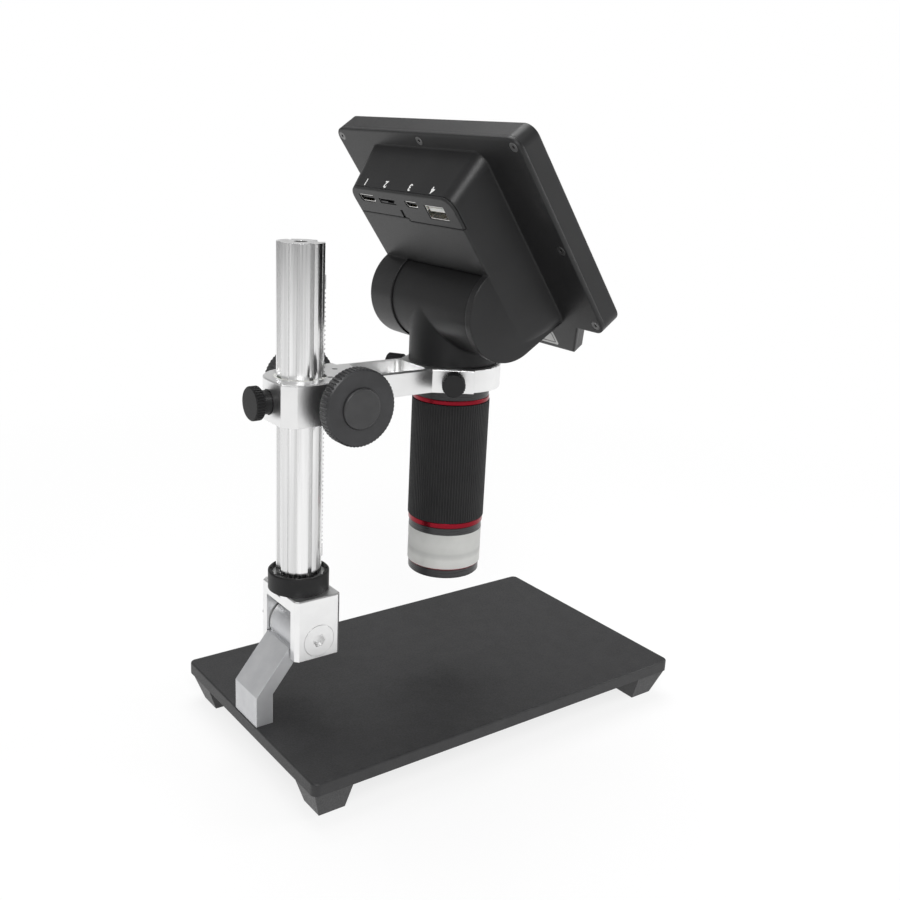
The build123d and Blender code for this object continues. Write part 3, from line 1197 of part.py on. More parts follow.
def panel_outline(gap=0.0):
    """Draw the port panel's part of the hump, from its lower edge up."""
    with Locations((0, gap)):
        Rectangle(4 * HUMP_HALF_WIDTH, HUMP_TOP, align=(Align.CENTER, Align.MIN))
    with Locations((PANEL_STEP_AT - gap, gap - PANEL_STEP)):
        Rectangle(2 * HUMP_HALF_WIDTH, HUMP_TOP, align=(Align.MAX, Align.MIN))


with BuildPart() as rear_cover:
    with BuildSketch(head_at(0, 0, BACK_N)):
        module_outline()
    extrude(amount=BACK_THICKNESS)
    fillet(rear_cover.edges().group_by(SCREEN_AXIS)[0], MODULE_EDGE)
    with BuildSketch(head_at(0, 0, COVER_INSIDE)):
        with Locations(*[(x, up) for x in (-LCD_PAD_X, LCD_PAD_X) for up in LCD_PAD_UPS]):
            Rectangle(LCD_PAD_SIZE, LCD_PAD_SIZE)
    extrude(amount=LCD_BACK - COVER_INSIDE)
    add(hump_outer.part)
    # the seat of the port panel
    with BuildSketch(head_at(0, PANEL_BOTTOM, HUMP_REAR)):
        panel_outline()
    extrude(amount=PANEL_THICKNESS, mode=Mode.SUBTRACT)
    # the room for the tilt barrel and the neck
    with BuildSketch(head_side(SLOT_FAR)):
        Circle(NECK_R + MOVE_GAP)
        with Locations((BACK_N, 0)):
            Rectangle(2 * EAR_R + BACK_N, 2 * EAR_R, align=(Align.MAX, Align.MAX))
        with Locations((HUMP_REAR, 0)):
            Rectangle(2 * EAR_R, 4 * EAR_R, align=(Align.MAX, Align.CENTER))
    extrude(amount=SLOT_FAR - SLOT_NEAR, mode=Mode.SUBTRACT)
    with BuildSketch(head_side(SLOT_NEAR)):
        Circle(NEAR_HUB_R + RUN_GAP)
    extrude(amount=NEAR_HUB_LENGTH + SEAT_GAP, mode=Mode.SUBTRACT)
    with BuildSketch(head_side(DRUM_WALL)):
        Circle(SPINDLE_R + RUN_GAP)
    extrude(amount=HUMP_WALL, mode=Mode.SUBTRACT)
    # the drum's hollow, open to the screen
    with BuildSketch(head_side(DRUM_WALL)):
        Circle(DRUM_CAVITY_R)
        with Locations((0, -DRUM_CAVITY_R)):
            Rectangle(COVER_INSIDE, CAVITY_BOTTOM + DRUM_CAVITY_R + CAVITY_OVERLAP,
                      align=(Align.MIN, Align.MIN))
    extrude(amount=DRUM_WALL - HUMP_HALF_WIDTH + HUMP_WALL, mode=Mode.SUBTRACT)
    # the hump's hollow
    with BuildSketch(head_at(0, CAVITY_BOTTOM, HUMP_REAR + HUMP_WALL)):
        Rectangle(2 * (HUMP_HALF_WIDTH - HUMP_WALL), HUMP_TOP - HUMP_WALL - CAVITY_BOTTOM,
                  align=(Align.CENTER, Align.MIN))
    with BuildSketch(head_at(0, CAVITY_BOTTOM, COVER_INSIDE)):
        Rectangle(2 * (HUMP_HALF_WIDTH + HUMP_FLARE - HUMP_WALL),
                  HUMP_TOP_AT_COVER - HUMP_WALL - CAVITY_BOTTOM, align=(Align.CENTER, Align.MIN))
    loft(mode=Mode.SUBTRACT)
    with BuildSketch(head_at(0, PANEL_BOTTOM + PANEL_LEDGE, HUMP_REAR)):
        Rectangle(2 * (HUMP_HALF_WIDTH - HUMP_WALL),
                  HUMP_TOP - HUMP_WALL - PANEL_BOTTOM - PANEL_LEDGE,
                  align=(Align.CENTER, Align.MIN))
    extrude(amount=HUMP_WALL, mode=Mode.SUBTRACT)
    with BuildSketch(head_at(0, 0, HUMP_REAR + HUMP_WALL)):
        with Locations(*[(x, up) for x in (-BOARD_POST_X, BOARD_POST_X) for up in BOARD_POST_UPS]):
            Circle(BOARD_POST_R)
    extrude(amount=BOARD_N - HUMP_REAR - HUMP_WALL)
    for x, up in cover_screw_places:
        with Locations(Plane(origin=head_at(x, up, BACK_N).origin, z_dir=-HEAD.z_dir)):
            CounterSinkHole(COVER_SCREW_R + THREAD_GAP, COVER_SCREW_HEAD_R + THREAD_GAP,
                            depth=BACK_THICKNESS + THREAD_RUNOUT, counter_sink_angle=90)

def socket_outline(width, height, corner):
    """Draw a socket's outline, its two lower corners cut."""
    Polygon(
        (-width / 2, height / 2),
        (-width / 2, corner - height / 2),
        (corner - width / 2, -height / 2),
        (width / 2 - corner, -height / 2),
        (width / 2, corner - height / 2),
        (width / 2, height / 2),
        align=None,
    )


with BuildPart() as port_panel:
    add(hump_outer.part)
    with BuildSketch(head_at(0, PANEL_BOTTOM, HUMP_REAR)):
        panel_outline(PANEL_SEAM)
    extrude(amount=PANEL_THICKNESS - PANEL_GROOVE_WIDTH, mode=Mode.INTERSECT)
    foot_bottom = PANEL_BOTTOM + PANEL_SEAM
    with BuildSketch(head_at(0, foot_bottom, HUMP_REAR + PANEL_THICKNESS - PANEL_GROOVE_WIDTH)):
        RectangleRounded(2 * (HUMP_HALF_WIDTH - PANEL_GROOVE_DEPTH),
                         HUMP_TOP - PANEL_GROOVE_DEPTH - foot_bottom,
                         HUMP_CORNER_R - PANEL_GROOVE_DEPTH, align=(Align.CENTER, Align.MIN))
    extrude(amount=PANEL_GROOVE_WIDTH)
    with BuildSketch(head_at(0, 0, HUMP_REAR)):
        for across, up, width, height, corner, tongue, lift in PLUG_SOCKETS + (USB_SOCKET,):
            with Locations((across, up)):
                socket_outline(width + 2 * SEAT_GAP, height + 2 * SEAT_GAP, corner)
        with Locations(CARD_SOCKET_AT):
            Rectangle(CARD_SOCKET_WIDTH + 2 * SEAT_GAP, CARD_SOCKET_HEIGHT + 2 * SEAT_GAP)
    extrude(amount=PANEL_THICKNESS, mode=Mode.SUBTRACT)
    with BuildSketch(head_at(0, 0, HUMP_REAR)):
        with Locations(PRY_SLOT_AT):
            Rectangle(*PRY_SLOT_SIZE)
    extrude(amount=PRY_SLOT_DEPTH, mode=Mode.SUBTRACT)


def socket(across, up, width, height, corner, tongue, lift):
    """One plug socket: a metal shell, closed at the board, with a tongue inside."""
    with BuildPart() as shell:
        with BuildSketch(head_at(across, up, SOCKET_MOUTH)):
            socket_outline(width, height, corner)
        extrude(amount=BOARD_N - SOCKET_MOUTH)
        with BuildSketch(head_at(across, up, SOCKET_MOUTH)):
            socket_outline(width - 2 * SOCKET_WALL, height - 2 * SOCKET_WALL, corner)
        extrude(amount=TONGUE_SETBACK + TONGUE_LENGTH, mode=Mode.SUBTRACT)
        with BuildSketch(head_at(across, up + lift, SOCKET_MOUTH + TONGUE_SETBACK)):
            Rectangle(width - 2 * (SOCKET_WALL + TONGUE_SIDE_GAP), tongue)
        extrude(amount=TONGUE_LENGTH)
    return shell.part


with BuildPart() as small_sockets:
    for sizes in PLUG_SOCKETS:
        add(socket(*sizes))

with BuildPart() as usb_socket:
    add(socket(*USB_SOCKET))

with BuildPart() as card_socket:
    with BuildSketch(head_at(*CARD_SOCKET_AT, SOCKET_MOUTH)):
        Rectangle(CARD_SOCKET_WIDTH, CARD_SOCKET_HEIGHT)
    extrude(amount=BOARD_N - SOCKET_MOUTH)
    with BuildSketch(head_at(*CARD_SOCKET_AT, SOCKET_MOUTH)):
        with Locations((0, CARD_SOCKET_HEIGHT / 2 - SOCKET_WALL)):
            Rectangle(CARD_SOCKET_WIDTH - 2 * SOCKET_WALL, CARD_SLOT_HEIGHT,
                      align=(Align.CENTER, Align.MAX))
    extrude(amount=TONGUE_LENGTH, mode=Mode.SUBTRACT)
    with BuildSketch(head_at(*CARD_SOCKET_AT, SOCKET_MOUTH)):
        with Locations((CARD_NOTCH_X, 0)):
            Rectangle(CARD_NOTCH_WIDTH, CARD_SOCKET_HEIGHT - 2 * SOCKET_WALL)
    extrude(amount=CARD_NOTCH_DEPTH, mode=Mode.SUBTRACT)

with BuildPart() as main_board:
    with BuildSketch(head_at(0, BOARD_BOTTOM, BOARD_N)):
        Rectangle(2 * BOARD_HALF_WIDTH, BOARD_TOP - BOARD_BOTTOM, align=(Align.CENTER, Align.MIN))
    extrude(amount=BOARD_THICKNESS)

# ------------------------------------------------------------------ screen side
with BuildPart() as front_bezel:
    with BuildSketch(head_at(0, 0, COVER_INSIDE)):
        with Locations((0, MODULE_MIDDLE)):
            RectangleRounded(2 * MODULE_HALF_WIDTH, MODULE_HEIGHT, MODULE_CORNER_R)
    extrude(amount=MODULE_FRONT - COVER_INSIDE)
    fillet(front_bezel.edges().group_by(SCREEN_AXIS)[-1], MODULE_EDGE)
    with BuildSketch(head_at(0, 0, COVER_INSIDE)):
        module_outline()
    extrude(amount=TAB_FRONT_N - COVER_INSIDE)
    with BuildSketch(head_at(0, 0, COVER_INSIDE)):
        with Locations((0, MODULE_MIDDLE)):
            RectangleRounded(2 * (MODULE_HALF_WIDTH - BEZEL_WALL), MODULE_HEIGHT - 2 * BEZEL_WALL,
                             MODULE_CORNER_R - BEZEL_WALL)
    extrude(amount=BEZEL_BACK_FACE - COVER_INSIDE, mode=Mode.SUBTRACT)
    with BuildSketch(head_at(0, 0, COVER_INSIDE)):
        module_outline(BEZEL_WALL)
    extrude(amount=TAB_FRONT_N - TAB_FRONT - COVER_INSIDE, mode=Mode.SUBTRACT)
    with BuildSketch(head_at(0, 0, COVER_INSIDE)):
        with Locations(*cover_screw_places):
            Circle(COVER_BOSS_R)
    extrude(amount=BEZEL_BACK_FACE - COVER_INSIDE)
    with BuildSketch(head_at(0, 0, COVER_INSIDE)):
        with Locations(*cover_screw_places):
            Circle(COVER_SCREW_R + THREAD_GAP)
    extrude(amount=COVER_SCREW_LENGTH - BACK_THICKNESS + MOVE_GAP, mode=Mode.SUBTRACT)
    with BuildSketch(head_at(0, WINDOW_MIDDLE, BEZEL_BACK_FACE)):
        Rectangle(WINDOW_WIDTH, WINDOW_HEIGHT)
    with BuildSketch(head_at(0, WINDOW_MIDDLE, MODULE_FRONT)):
        Rectangle(WINDOW_WIDTH + 2 * BEZEL_FRONT, WINDOW_HEIGHT + 2 * BEZEL_FRONT)
    loft(mode=Mode.SUBTRACT)
    with BuildSketch(head_at(0, BUTTON_UP, TAB_FRONT_N - TAB_FRONT)):
        with GridLocations(BUTTON_PITCH, 0, BUTTON_COUNT, 1):
            Circle(BUTTON_R + BUTTON_GAP)
    extrude(amount=TAB_FRONT, mode=Mode.SUBTRACT)

with BuildPart() as screen_glass:
    with BuildSketch(head_at(0, WINDOW_MIDDLE, BEZEL_BACK_FACE)):
        Rectangle(WINDOW_WIDTH + 2 * GLASS_BORDER, WINDOW_HEIGHT + 2 * GLASS_BORDER)
    extrude(amount=-GLASS_THICKNESS)

with BuildPart() as lcd_panel:
    with BuildSketch(head_at(0, WINDOW_MIDDLE, LCD_BACK)):
        Rectangle(WINDOW_WIDTH + 2 * LCD_BORDER, WINDOW_HEIGHT + 2 * LCD_BORDER)
    extrude(amount=LCD_THICKNESS)

with BuildPart() as button_board:
    with BuildSketch(head_at(0, BUTTON_UP, COVER_INSIDE)):
        Rectangle(*BUTTON_BOARD_SIZE)
    extrude(amount=BUTTON_BOARD_TOP - COVER_INSIDE)

cover_screw = countersunk_screw(COVER_SCREW_HEAD_R, COVER_SCREW_R, COVER_SCREW_LENGTH,
                                COVER_SCREW_R * 0.7)
with BuildPart() as cover_screws:
    for x, up in cover_screw_places:
        with Locations(Plane(origin=head_at(x, up, BACK_N).origin, z_dir=-HEAD.z_dir)):
            add(cover_screw)


def button(across):
    """One push button: a round cap and the flange that keeps it in the bezel."""
    with BuildPart() as cap:
        with BuildSketch(head_at(across, BUTTON_UP, BUTTON_FLANGE_N)):
            Circle(BUTTON_R + BUTTON_FLANGE)
        extrude(amount=BUTTON_FLANGE_T)
        with BuildSketch(head_at(across, BUTTON_UP, BUTTON_FLANGE_N)):
            Circle(BUTTON_R)
        extrude(amount=TAB_FRONT_N + BUTTON_PROUD - BUTTON_FLANGE_N)
    return cap


buttons = {
    f"button_{index + 1}": button((index - (BUTTON_COUNT - 1) / 2) * BUTTON_PITCH)
    for index in range(BUTTON_COUNT)
}

# ------------------------------------------------------------------ files
pieces = {
    "base_plate": base_plate,
    "foot_pads": foot_pads,
    "column_bracket": column_bracket,
    "bracket_screws": bracket_screws,
    "column_clevis": column_clevis,
    "pivot_bolt": pivot_bolt,
    "pivot_nut": pivot_nut,
    "pivot_washers": pivot_washers,
    "column_screw": column_screw,
    "lock_collar": lock_collar,
    "column_extrusion": column_extrusion,
    "gear_rack": gear_rack,
    "rack_screws": rack_screws,
    "carriage_arm": carriage_arm,
    "guide_sleeve": guide_sleeve,
    "shaft_bushes": shaft_bushes,
    "set_screws": set_screws,
    "column_lock_screw": column_lock_screw,
    "lock_pad": lock_pad,
    "pinion_shaft": pinion_shaft,
    "focus_knob_near": focus_knob_near,
    "focus_knob_far": focus_knob_far,
    "knob_screws": knob_screws,
    "knob_caps": knob_caps,
    "ring_screw_near": ring_screw_near,
    "ring_screw_far": ring_screw_far,
    "main_tube": main_tube,
    "lower_collar": lower_collar,
    "light_hood": light_hood,
    "seal_ring": seal_ring,
    "lens_cap": lens_cap,
    "filter_glass": filter_glass,
    "led_board": led_board,
    "leds": leds,
    "focus_sleeve": focus_sleeve,
    "focus_rings": focus_rings,
    "rubber_grip": rubber_grip,
    "lens_cell": lens_cell,
    "lenses": lenses,
    "image_board": image_board,
    "neck_shell": neck_shell,
    "hinge_spindle": hinge_spindle,
    "hinge_washer": hinge_washer,
    "hinge_nut": hinge_nut,
    "rear_cover": rear_cover,
    "port_panel": port_panel,
    "small_sockets": small_sockets,
    "usb_socket": usb_socket,
    "card_socket": card_socket,
    "main_board": main_board,
    "front_bezel": front_bezel,
    "screen_glass": screen_glass,
    "lcd_panel": lcd_panel,
    "button_board": button_board,
    "cover_screws": cover_screws,
    **buttons,
}
for piece_name, piece in pieces.items():
    save(piece, piece_name)
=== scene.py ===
"""Looks of the LCD microscope: finishes, printed marks, socket insides, light and camera."""

import json
from math import cos, pi, radians, sin

import bmesh
import bpy
from mathutils import Matrix, Vector


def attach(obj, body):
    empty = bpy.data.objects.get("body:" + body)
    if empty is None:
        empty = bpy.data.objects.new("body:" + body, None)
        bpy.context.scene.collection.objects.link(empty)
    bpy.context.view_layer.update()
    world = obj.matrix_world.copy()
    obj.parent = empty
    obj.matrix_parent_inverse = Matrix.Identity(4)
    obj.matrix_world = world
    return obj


MM = 0.001

# ------------------------------------------------------------------ camera
CAMERA_AT = Vector((-280.67, -375.86, 266.44)) * MM
CAMERA_YAW = radians(37.08)      # from +Y towards +X
CAMERA_PITCH = radians(-16.72)
CAMERA_ROLL = radians(2.81)
CAMERA_LENS = 42.954
CAMERA_SENSOR = 36.0
CAMERA_CLIP = (0.01, 100)        # nearest and farthest distance seen, in metres

# ------------------------------------------------------------------ light
WORLD_AT_HORIZON = 0.70          # light of the room on surfaces, and the same overhead
WORLD_OVERHEAD = 0.20
WORLD_FADE = (0.05, 0.60)        # heights of view, as a sine, between which it changes
FLOOR_HALF_SIZE = 30             # in metres
FLOOR_COLOR = (0.92, 0.92, 0.92)
FLOOR_ROUGHNESS = 0.8
FLOOR_SEEN_WHITE = 0.80          # share of plain white seen in the floor under the part
FLOOR_FADE = (0.22, 0.60)        # distances between which that share grows to all white
FLOOR_GLOSS = 1.0                # the same share in reflections, near the part
FLOOR_GLOSS_FADE = (0.9, 2.2)    # distances between which it falls to none
SOFTBOXES = (                    # name, place, size, power in watts
    ("key", (-0.55, -0.80, 0.95), 0.55, 9.0),
    ("top", (0.10, 0.30, 1.15), 0.8, 8.5),
    ("side", (0.90, -0.45, 0.45), 0.5, 3.0),
)
SOFTBOX_AIM = (0, 0, 0.13)

# ------------------------------------------------------------------ grain and wear
NOISE_LOW, NOISE_HIGH = 0.35, 0.65   # noise values between which most of a surface lies
PATCH_DETAIL = 5                 # octaves of the broad and of the fine variation
GRAIN_DETAIL = 2
BEVEL_SAMPLES = 4
EDGE_AGREEMENT = (0.80, 0.97)    # rounded against own normal: all worn, and not worn
WEAR_IN_PATCHES = (0.25, 1.0)    # least and most of it, from patch to patch
HOOD_PAINTED_SHADE = (                   # height in mm and grey of painted light and shade: rim, light band, tube's shadow, top
    (73.1, 1.00), (74.0, 0.96), (77.0, 0.97), (78.4, 0.80), (79.6, 0.74), (80.8, 0.86),
    (84.0, 0.90), (89.5, 0.86),
)
UP_THE_COLUMN = (1, 1, 0.015)    # scale of the grain along x, y and z: below 1 is longer
ROUND_THE_BARREL = (0.04, 0.04, 1)
ROUND_THE_SHAFT = (0.04, 1, 0.04)

# ------------------------------------------------------------------ head's dimensions, in mm
SCREEN_LEAN = radians(35.5)
HUMP_REAR = -0.5
HUMP_TOP = 57.0
HUMP_TOP_AT_COVER = 64.5
COVER_REAR = 20.4
TAB_FRONT = 26.0

SOCKET_MOUTH = -0.2
TONGUE_SETBACK = 0.8
TONGUE_DEPTH = 6.8
TONGUE_SKIN = 0.04
CONTACT_PROUD = 0.05
CONTACT_SETBACK = 0.5            # from the tongue's end
PLUG_SOCKETS = (                 # name, across, up, width, tongue thickness, contacts, contact width
    ("hdmi", 25.5, 52.2, 8.8, 0.8, 9, 0.40),
    ("micro_usb", -7.7, 52.0, 5.6, 0.7, 5, 0.40),
    ("usb", -23.5, 50.4, 10.7, 1.8, 4, 1.00),
)
SOCKET_NUMBERS = (25.5, 10.2, -7.7, -23.5)
NUMBER_SIZE = 4.4
NUMBER_SETBACK = 3.6             # from the slope's rear edge to the middle of the digits
PRINT_THICKNESS = 0.03
PRINT_BOLDNESS = 0.12

LABEL_AT = (-18.4, -31.6)
LABEL_SIZE = (20.0, 8.2)
LABEL_CORNER = 1.4
LABEL_THICKNESS = 0.08
LABEL_LINE_INSET = 1.2
LABEL_LINE_WIDTH = 0.5
LABEL_LINE_CORNERS = (0.7, 0.35)  # outside and inside

BUTTONS = 5
BUTTON_PITCH = 14.0
SIGN_UP = -24.6                  # from the tilt axis to the middle of the signs
SIGN_R = 0.95                    # of the round signs
POWER_BORE_R = 0.70
POWER_STROKE = (0.25, 1.2)       # width and height
POWER_STROKE_LIFT = 0.75
DOT_BORE_R = 0.75
DOT_R = 0.4
ARROW_BACK = 0.7
ARROW_TIP = 0.8
ARROW_HALF_HEIGHT = 0.8
BAR_SIZE = (1.8, 0.25)
BAR_PITCH = 0.65

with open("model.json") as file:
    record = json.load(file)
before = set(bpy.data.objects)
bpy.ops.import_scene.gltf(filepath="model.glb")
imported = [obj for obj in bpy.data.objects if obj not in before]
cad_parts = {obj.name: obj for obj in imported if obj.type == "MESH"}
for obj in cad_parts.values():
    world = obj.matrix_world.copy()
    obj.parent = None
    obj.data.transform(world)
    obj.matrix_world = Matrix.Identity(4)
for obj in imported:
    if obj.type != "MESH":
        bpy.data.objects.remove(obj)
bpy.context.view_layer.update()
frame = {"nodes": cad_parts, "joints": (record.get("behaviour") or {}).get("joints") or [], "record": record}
nodes = frame["nodes"]
TILT_AT = next(Vector(joint["pos_m"]) for joint in frame["joints"]
               if joint["name"] == "screen_tilt")
SCREEN_OUT = Vector((cos(SCREEN_LEAN), 0, sin(SCREEN_LEAN)))
SCREEN_UP = Vector((-sin(SCREEN_LEAN), 0, cos(SCREEN_LEAN)))
ACROSS = Vector((0, 1, 0))


def head_point(across, up, out):
    """A point given in millimetres across, up and out from the screen's tilt axis."""
    return TILT_AT + (across * ACROSS + up * SCREEN_UP + out * SCREEN_OUT) * MM


# ------------------------------------------------------------------ shader tools
def node(tree, kind, **inputs):
    """A shader node with some of its inputs set by name."""
    made = tree.nodes.new(kind)
    for name, value in inputs.items():
        made.inputs[name.replace("_", " ")].default_value = value
    return made


def stretched_place(tree, stretch):
    """The object's own coordinates, squeezed along each axis by a factor below 1."""
    coordinates = tree.nodes.new("ShaderNodeTexCoord")
    mapping = node(tree, "ShaderNodeMapping", Scale=stretch)
    tree.links.new(coordinates.outputs["Object"], mapping.inputs["Vector"])
    return mapping.outputs["Vector"]


def noise(tree, place, scale, detail):
    """Fractal noise, with scale in waves per metre."""
    made = node(tree, "ShaderNodeTexNoise", Scale=scale, Detail=detail)
    tree.links.new(place, made.inputs["Vector"])
    return made.outputs["Fac"]


def spread(tree, value, low, high, value_low=NOISE_LOW, value_high=NOISE_HIGH):
    """Map a value from one span, by default that of noise, to another."""
    made = node(tree, "ShaderNodeMapRange", From_Min=value_low, From_Max=value_high,
                To_Min=low, To_Max=high)
    tree.links.new(value, made.inputs["Value"])
    return made.outputs["Result"]


def between_colors(tree, value, low, high):
    """A colour between two, by a noise value."""
    ramp = tree.nodes.new("ShaderNodeValToRGB")
    for stop, position, color in zip(ramp.color_ramp.elements, (NOISE_LOW, NOISE_HIGH),
                                     (low, high)):
        stop.position = position
        stop.color = (*color, 1)
    tree.links.new(value, ramp.inputs["Fac"])
    return ramp.outputs["Color"]


def math_node(tree, operation, *values):
    """A math node over linked values."""
    made = tree.nodes.new("ShaderNodeMath")
    made.operation = operation
    for socket, value in zip(made.inputs, values):
        tree.links.new(value, socket)
    return made.outputs[0]


def mix_colors(tree, factor, color, other, blend="MIX"):
    """Mix two colours; what isn't another node's output is set as a value."""
    mixed = tree.nodes.new("ShaderNodeMix")
    mixed.data_type = "RGBA"
    mixed.blend_type = blend
    sockets = {socket.identifier: socket for socket in mixed.inputs}
    for name, value in (("Factor_Float", factor), ("A_Color", color), ("B_Color", other)):
        if isinstance(value, bpy.types.NodeSocket):
            tree.links.new(value, sockets[name])
        else:
            sockets[name].default_value = value
    return next(out for out in mixed.outputs if out.identifier == "Result_Color")


def rounded_normal(tree, radius_mm):
    """The surface's normal with its edges rounded off."""
    bevel = node(tree, "ShaderNodeBevel", Radius=radius_mm * MM)
    bevel.samples = BEVEL_SAMPLES
    return bevel.outputs["Normal"]


def worn_edges(tree, color, rounded, patches, worn):
    """Mix a worn colour in where the rounded normal leaves the surface's own, in patches."""
    geometry = tree.nodes.new("ShaderNodeNewGeometry")
    agreement = tree.nodes.new("ShaderNodeVectorMath")
    agreement.operation = "DOT_PRODUCT"
    tree.links.new(rounded, agreement.inputs[0])
    tree.links.new(geometry.outputs["Normal"], agreement.inputs[1])
    edge = spread(tree, agreement.outputs["Value"], 1.0, 0.0, *EDGE_AGREEMENT)
    broken = math_node(tree, "MULTIPLY", edge, spread(tree, patches, *WEAR_IN_PATCHES))
    return mix_colors(tree, broken, color, (*worn, 1))


def finish(name, low, high, roughness, metallic=0.0, grain=2000.0, patch=140.0, depth_mm=0.01,
           stretch=(1, 1, 1), edge_mm=0.2, worn=None, **sockets):
    """A finish whose colour, gloss and surface vary with grain, with rounded and worn edges.

    low and high are the colours it wanders between, and roughness is a pair. grain and patch are
    waves per metre of the fine and the broad variation. Other sockets are set as they are.
    """
    look = bpy.data.materials.new(name)
    look.use_nodes = True
    tree = look.node_tree
    shader = tree.nodes["Principled BSDF"]
    shader.inputs["Metallic"].default_value = metallic
    for socket, value in sockets.items():
        shader.inputs[socket.replace("_", " ")].default_value = value
    place = stretched_place(tree, stretch)
    patches = noise(tree, place, patch, PATCH_DETAIL)
    speckle = noise(tree, place, grain, GRAIN_DETAIL)
    color = between_colors(tree, patches, low, high)
    rounded = rounded_normal(tree, edge_mm)
    if worn:
        color = worn_edges(tree, color, rounded, patches, worn)
    bump = node(tree, "ShaderNodeBump", Distance=depth_mm * MM)
    tree.links.new(speckle, bump.inputs["Height"])
    tree.links.new(rounded, bump.inputs["Normal"])
    tree.links.new(bump.outputs["Normal"], shader.inputs["Normal"])
    tree.links.new(color, shader.inputs["Base Color"])
    tree.links.new(spread(tree, speckle, *roughness), shader.inputs["Roughness"])
    return look


def shade_by_height(look, bands):
    """Multiply a finish's colour by a grey that changes with height, as painted light and shade; bands are
    (mm, grey).
    """
    tree = look.node_tree
    shader = tree.nodes["Principled BSDF"]
    parts = tree.nodes.new("ShaderNodeSeparateXYZ")
    place = tree.nodes.new("ShaderNodeTexCoord").outputs["Object"]
    tree.links.new(place, parts.inputs["Vector"])
    low, high = bands[0][0], bands[-1][0]
    level = spread(tree, parts.outputs["Z"], 0.0, 1.0, low * MM, high * MM)
    ramp = tree.nodes.new("ShaderNodeValToRGB")
    stops = ramp.color_ramp.elements
    while len(stops) < len(bands):
        stops.new(1.0)
    for stop, (height, grey) in zip(stops, bands):
        stop.position = (height - low) / (high - low)
        stop.color = (grey, grey, grey, 1)
    tree.links.new(level, ramp.inputs["Fac"])
    base = shader.inputs["Base Color"]
    shaded = mix_colors(tree, 1.0, base.links[0].from_socket, ramp.outputs["Color"], "MULTIPLY")
    tree.links.new(shaded, base)


def seen_as_background(tree):
    """1 for rays from the camera and through glass, 0 for light on surfaces."""
    path = tree.nodes.new("ShaderNodeLightPath")
    return math_node(tree, "MAXIMUM", path.outputs["Is Camera Ray"],
                     path.outputs["Is Transmission Ray"])


# ------------------------------------------------------------------ finishes
powder_coat = finish(
    "powder_coat", (0.015, 0.015, 0.016), (0.020, 0.020, 0.021), (0.40, 0.56), grain=1500,
    depth_mm=0.05, worn=(0.055, 0.055, 0.055))
blasted = finish(
    "blasted_aluminium", (0.55, 0.555, 0.57), (0.61, 0.615, 0.625), (0.34, 0.46), metallic=0.65,
    grain=2600, depth_mm=0.02, edge_mm=0.3, worn=(0.95, 0.95, 0.96))
satin_aluminium = finish(
    "satin_aluminium", (0.88, 0.88, 0.88), (0.91, 0.91, 0.907), (0.28, 0.36), metallic=1.0,
    grain=2000, depth_mm=0.003, worn=(0.93, 0.93, 0.93))
extruded_aluminium = finish(
    "extruded_aluminium", (0.66, 0.66, 0.66), (0.93, 0.93, 0.93), (0.12, 0.28), metallic=1.0,
    grain=1800, patch=320, depth_mm=0.006, stretch=UP_THE_COLUMN)
black_anodised = finish(
    "black_anodised", (0.018, 0.018, 0.019), (0.026, 0.026, 0.028), (0.32, 0.44), grain=2600,
    depth_mm=0.008, worn=(0.07, 0.07, 0.075))
black_turned = finish(
    "black_turned", (0.016, 0.016, 0.017), (0.024, 0.024, 0.026), (0.26, 0.38), grain=2600,
    depth_mm=0.005, stretch=ROUND_THE_BARREL)
red_anodised = finish(
    "red_anodised", (0.19, 0.006, 0.014), (0.26, 0.009, 0.020), (0.20, 0.28), metallic=0.9,
    grain=2600, depth_mm=0.004, stretch=ROUND_THE_BARREL)
machined_steel = finish(
    "machined_steel", (0.56, 0.56, 0.56), (0.68, 0.68, 0.68), (0.20, 0.34), metallic=1.0,
    depth_mm=0.006, stretch=ROUND_THE_SHAFT, worn=(0.85, 0.85, 0.85))
black_oxide = finish(
    "black_oxide", (0.030, 0.030, 0.032), (0.045, 0.045, 0.047), (0.28, 0.42), metallic=0.6,
    depth_mm=0.006, worn=(0.25, 0.25, 0.25))
small_screw = finish(
    "small_screw", (0.16, 0.16, 0.16), (0.24, 0.24, 0.24), (0.30, 0.44), metallic=1.0,
    depth_mm=0.006, worn=(0.50, 0.50, 0.50))
thumb_black = finish(
    "thumb_black", (0.006, 0.006, 0.0065), (0.010, 0.010, 0.0105), (0.42, 0.54), grain=2600,
    depth_mm=0.008, Specular_IOR_Level=0.3)
cap_black = finish(
    "cap_black", (0.026, 0.026, 0.027), (0.034, 0.034, 0.035), (0.36, 0.48), grain=2800,
    depth_mm=0.008, edge_mm=0.5)
plated_shell = finish(
    "plated_shell", (0.76, 0.75, 0.73), (0.86, 0.85, 0.83), (0.12, 0.24), metallic=1.0,
    depth_mm=0.004, edge_mm=0.08)
gold_contact = finish(
    "gold_contact", (0.78, 0.56, 0.20), (0.86, 0.64, 0.27), (0.14, 0.24), metallic=1.0,
    depth_mm=0.002, edge_mm=0.02)
bush_brass = finish(
    "bush_brass", (0.66, 0.46, 0.18), (0.76, 0.56, 0.25), (0.24, 0.36), metallic=1.0,
    depth_mm=0.006)
moulded_black = finish(
    "moulded_black", (0.0120, 0.0120, 0.0125), (0.0150, 0.0150, 0.0155), (0.34, 0.46), grain=3000,
    patch=60, depth_mm=0.010, edge_mm=0.3, worn=(0.045, 0.045, 0.046), Specular_IOR_Level=0.40)
moulded_shell = finish(
    "moulded_shell", (0.0115, 0.0115, 0.0120), (0.0145, 0.0145, 0.0150), (0.34, 0.46), grain=3000,
    patch=60, depth_mm=0.010, edge_mm=1.2, Specular_IOR_Level=0.38)
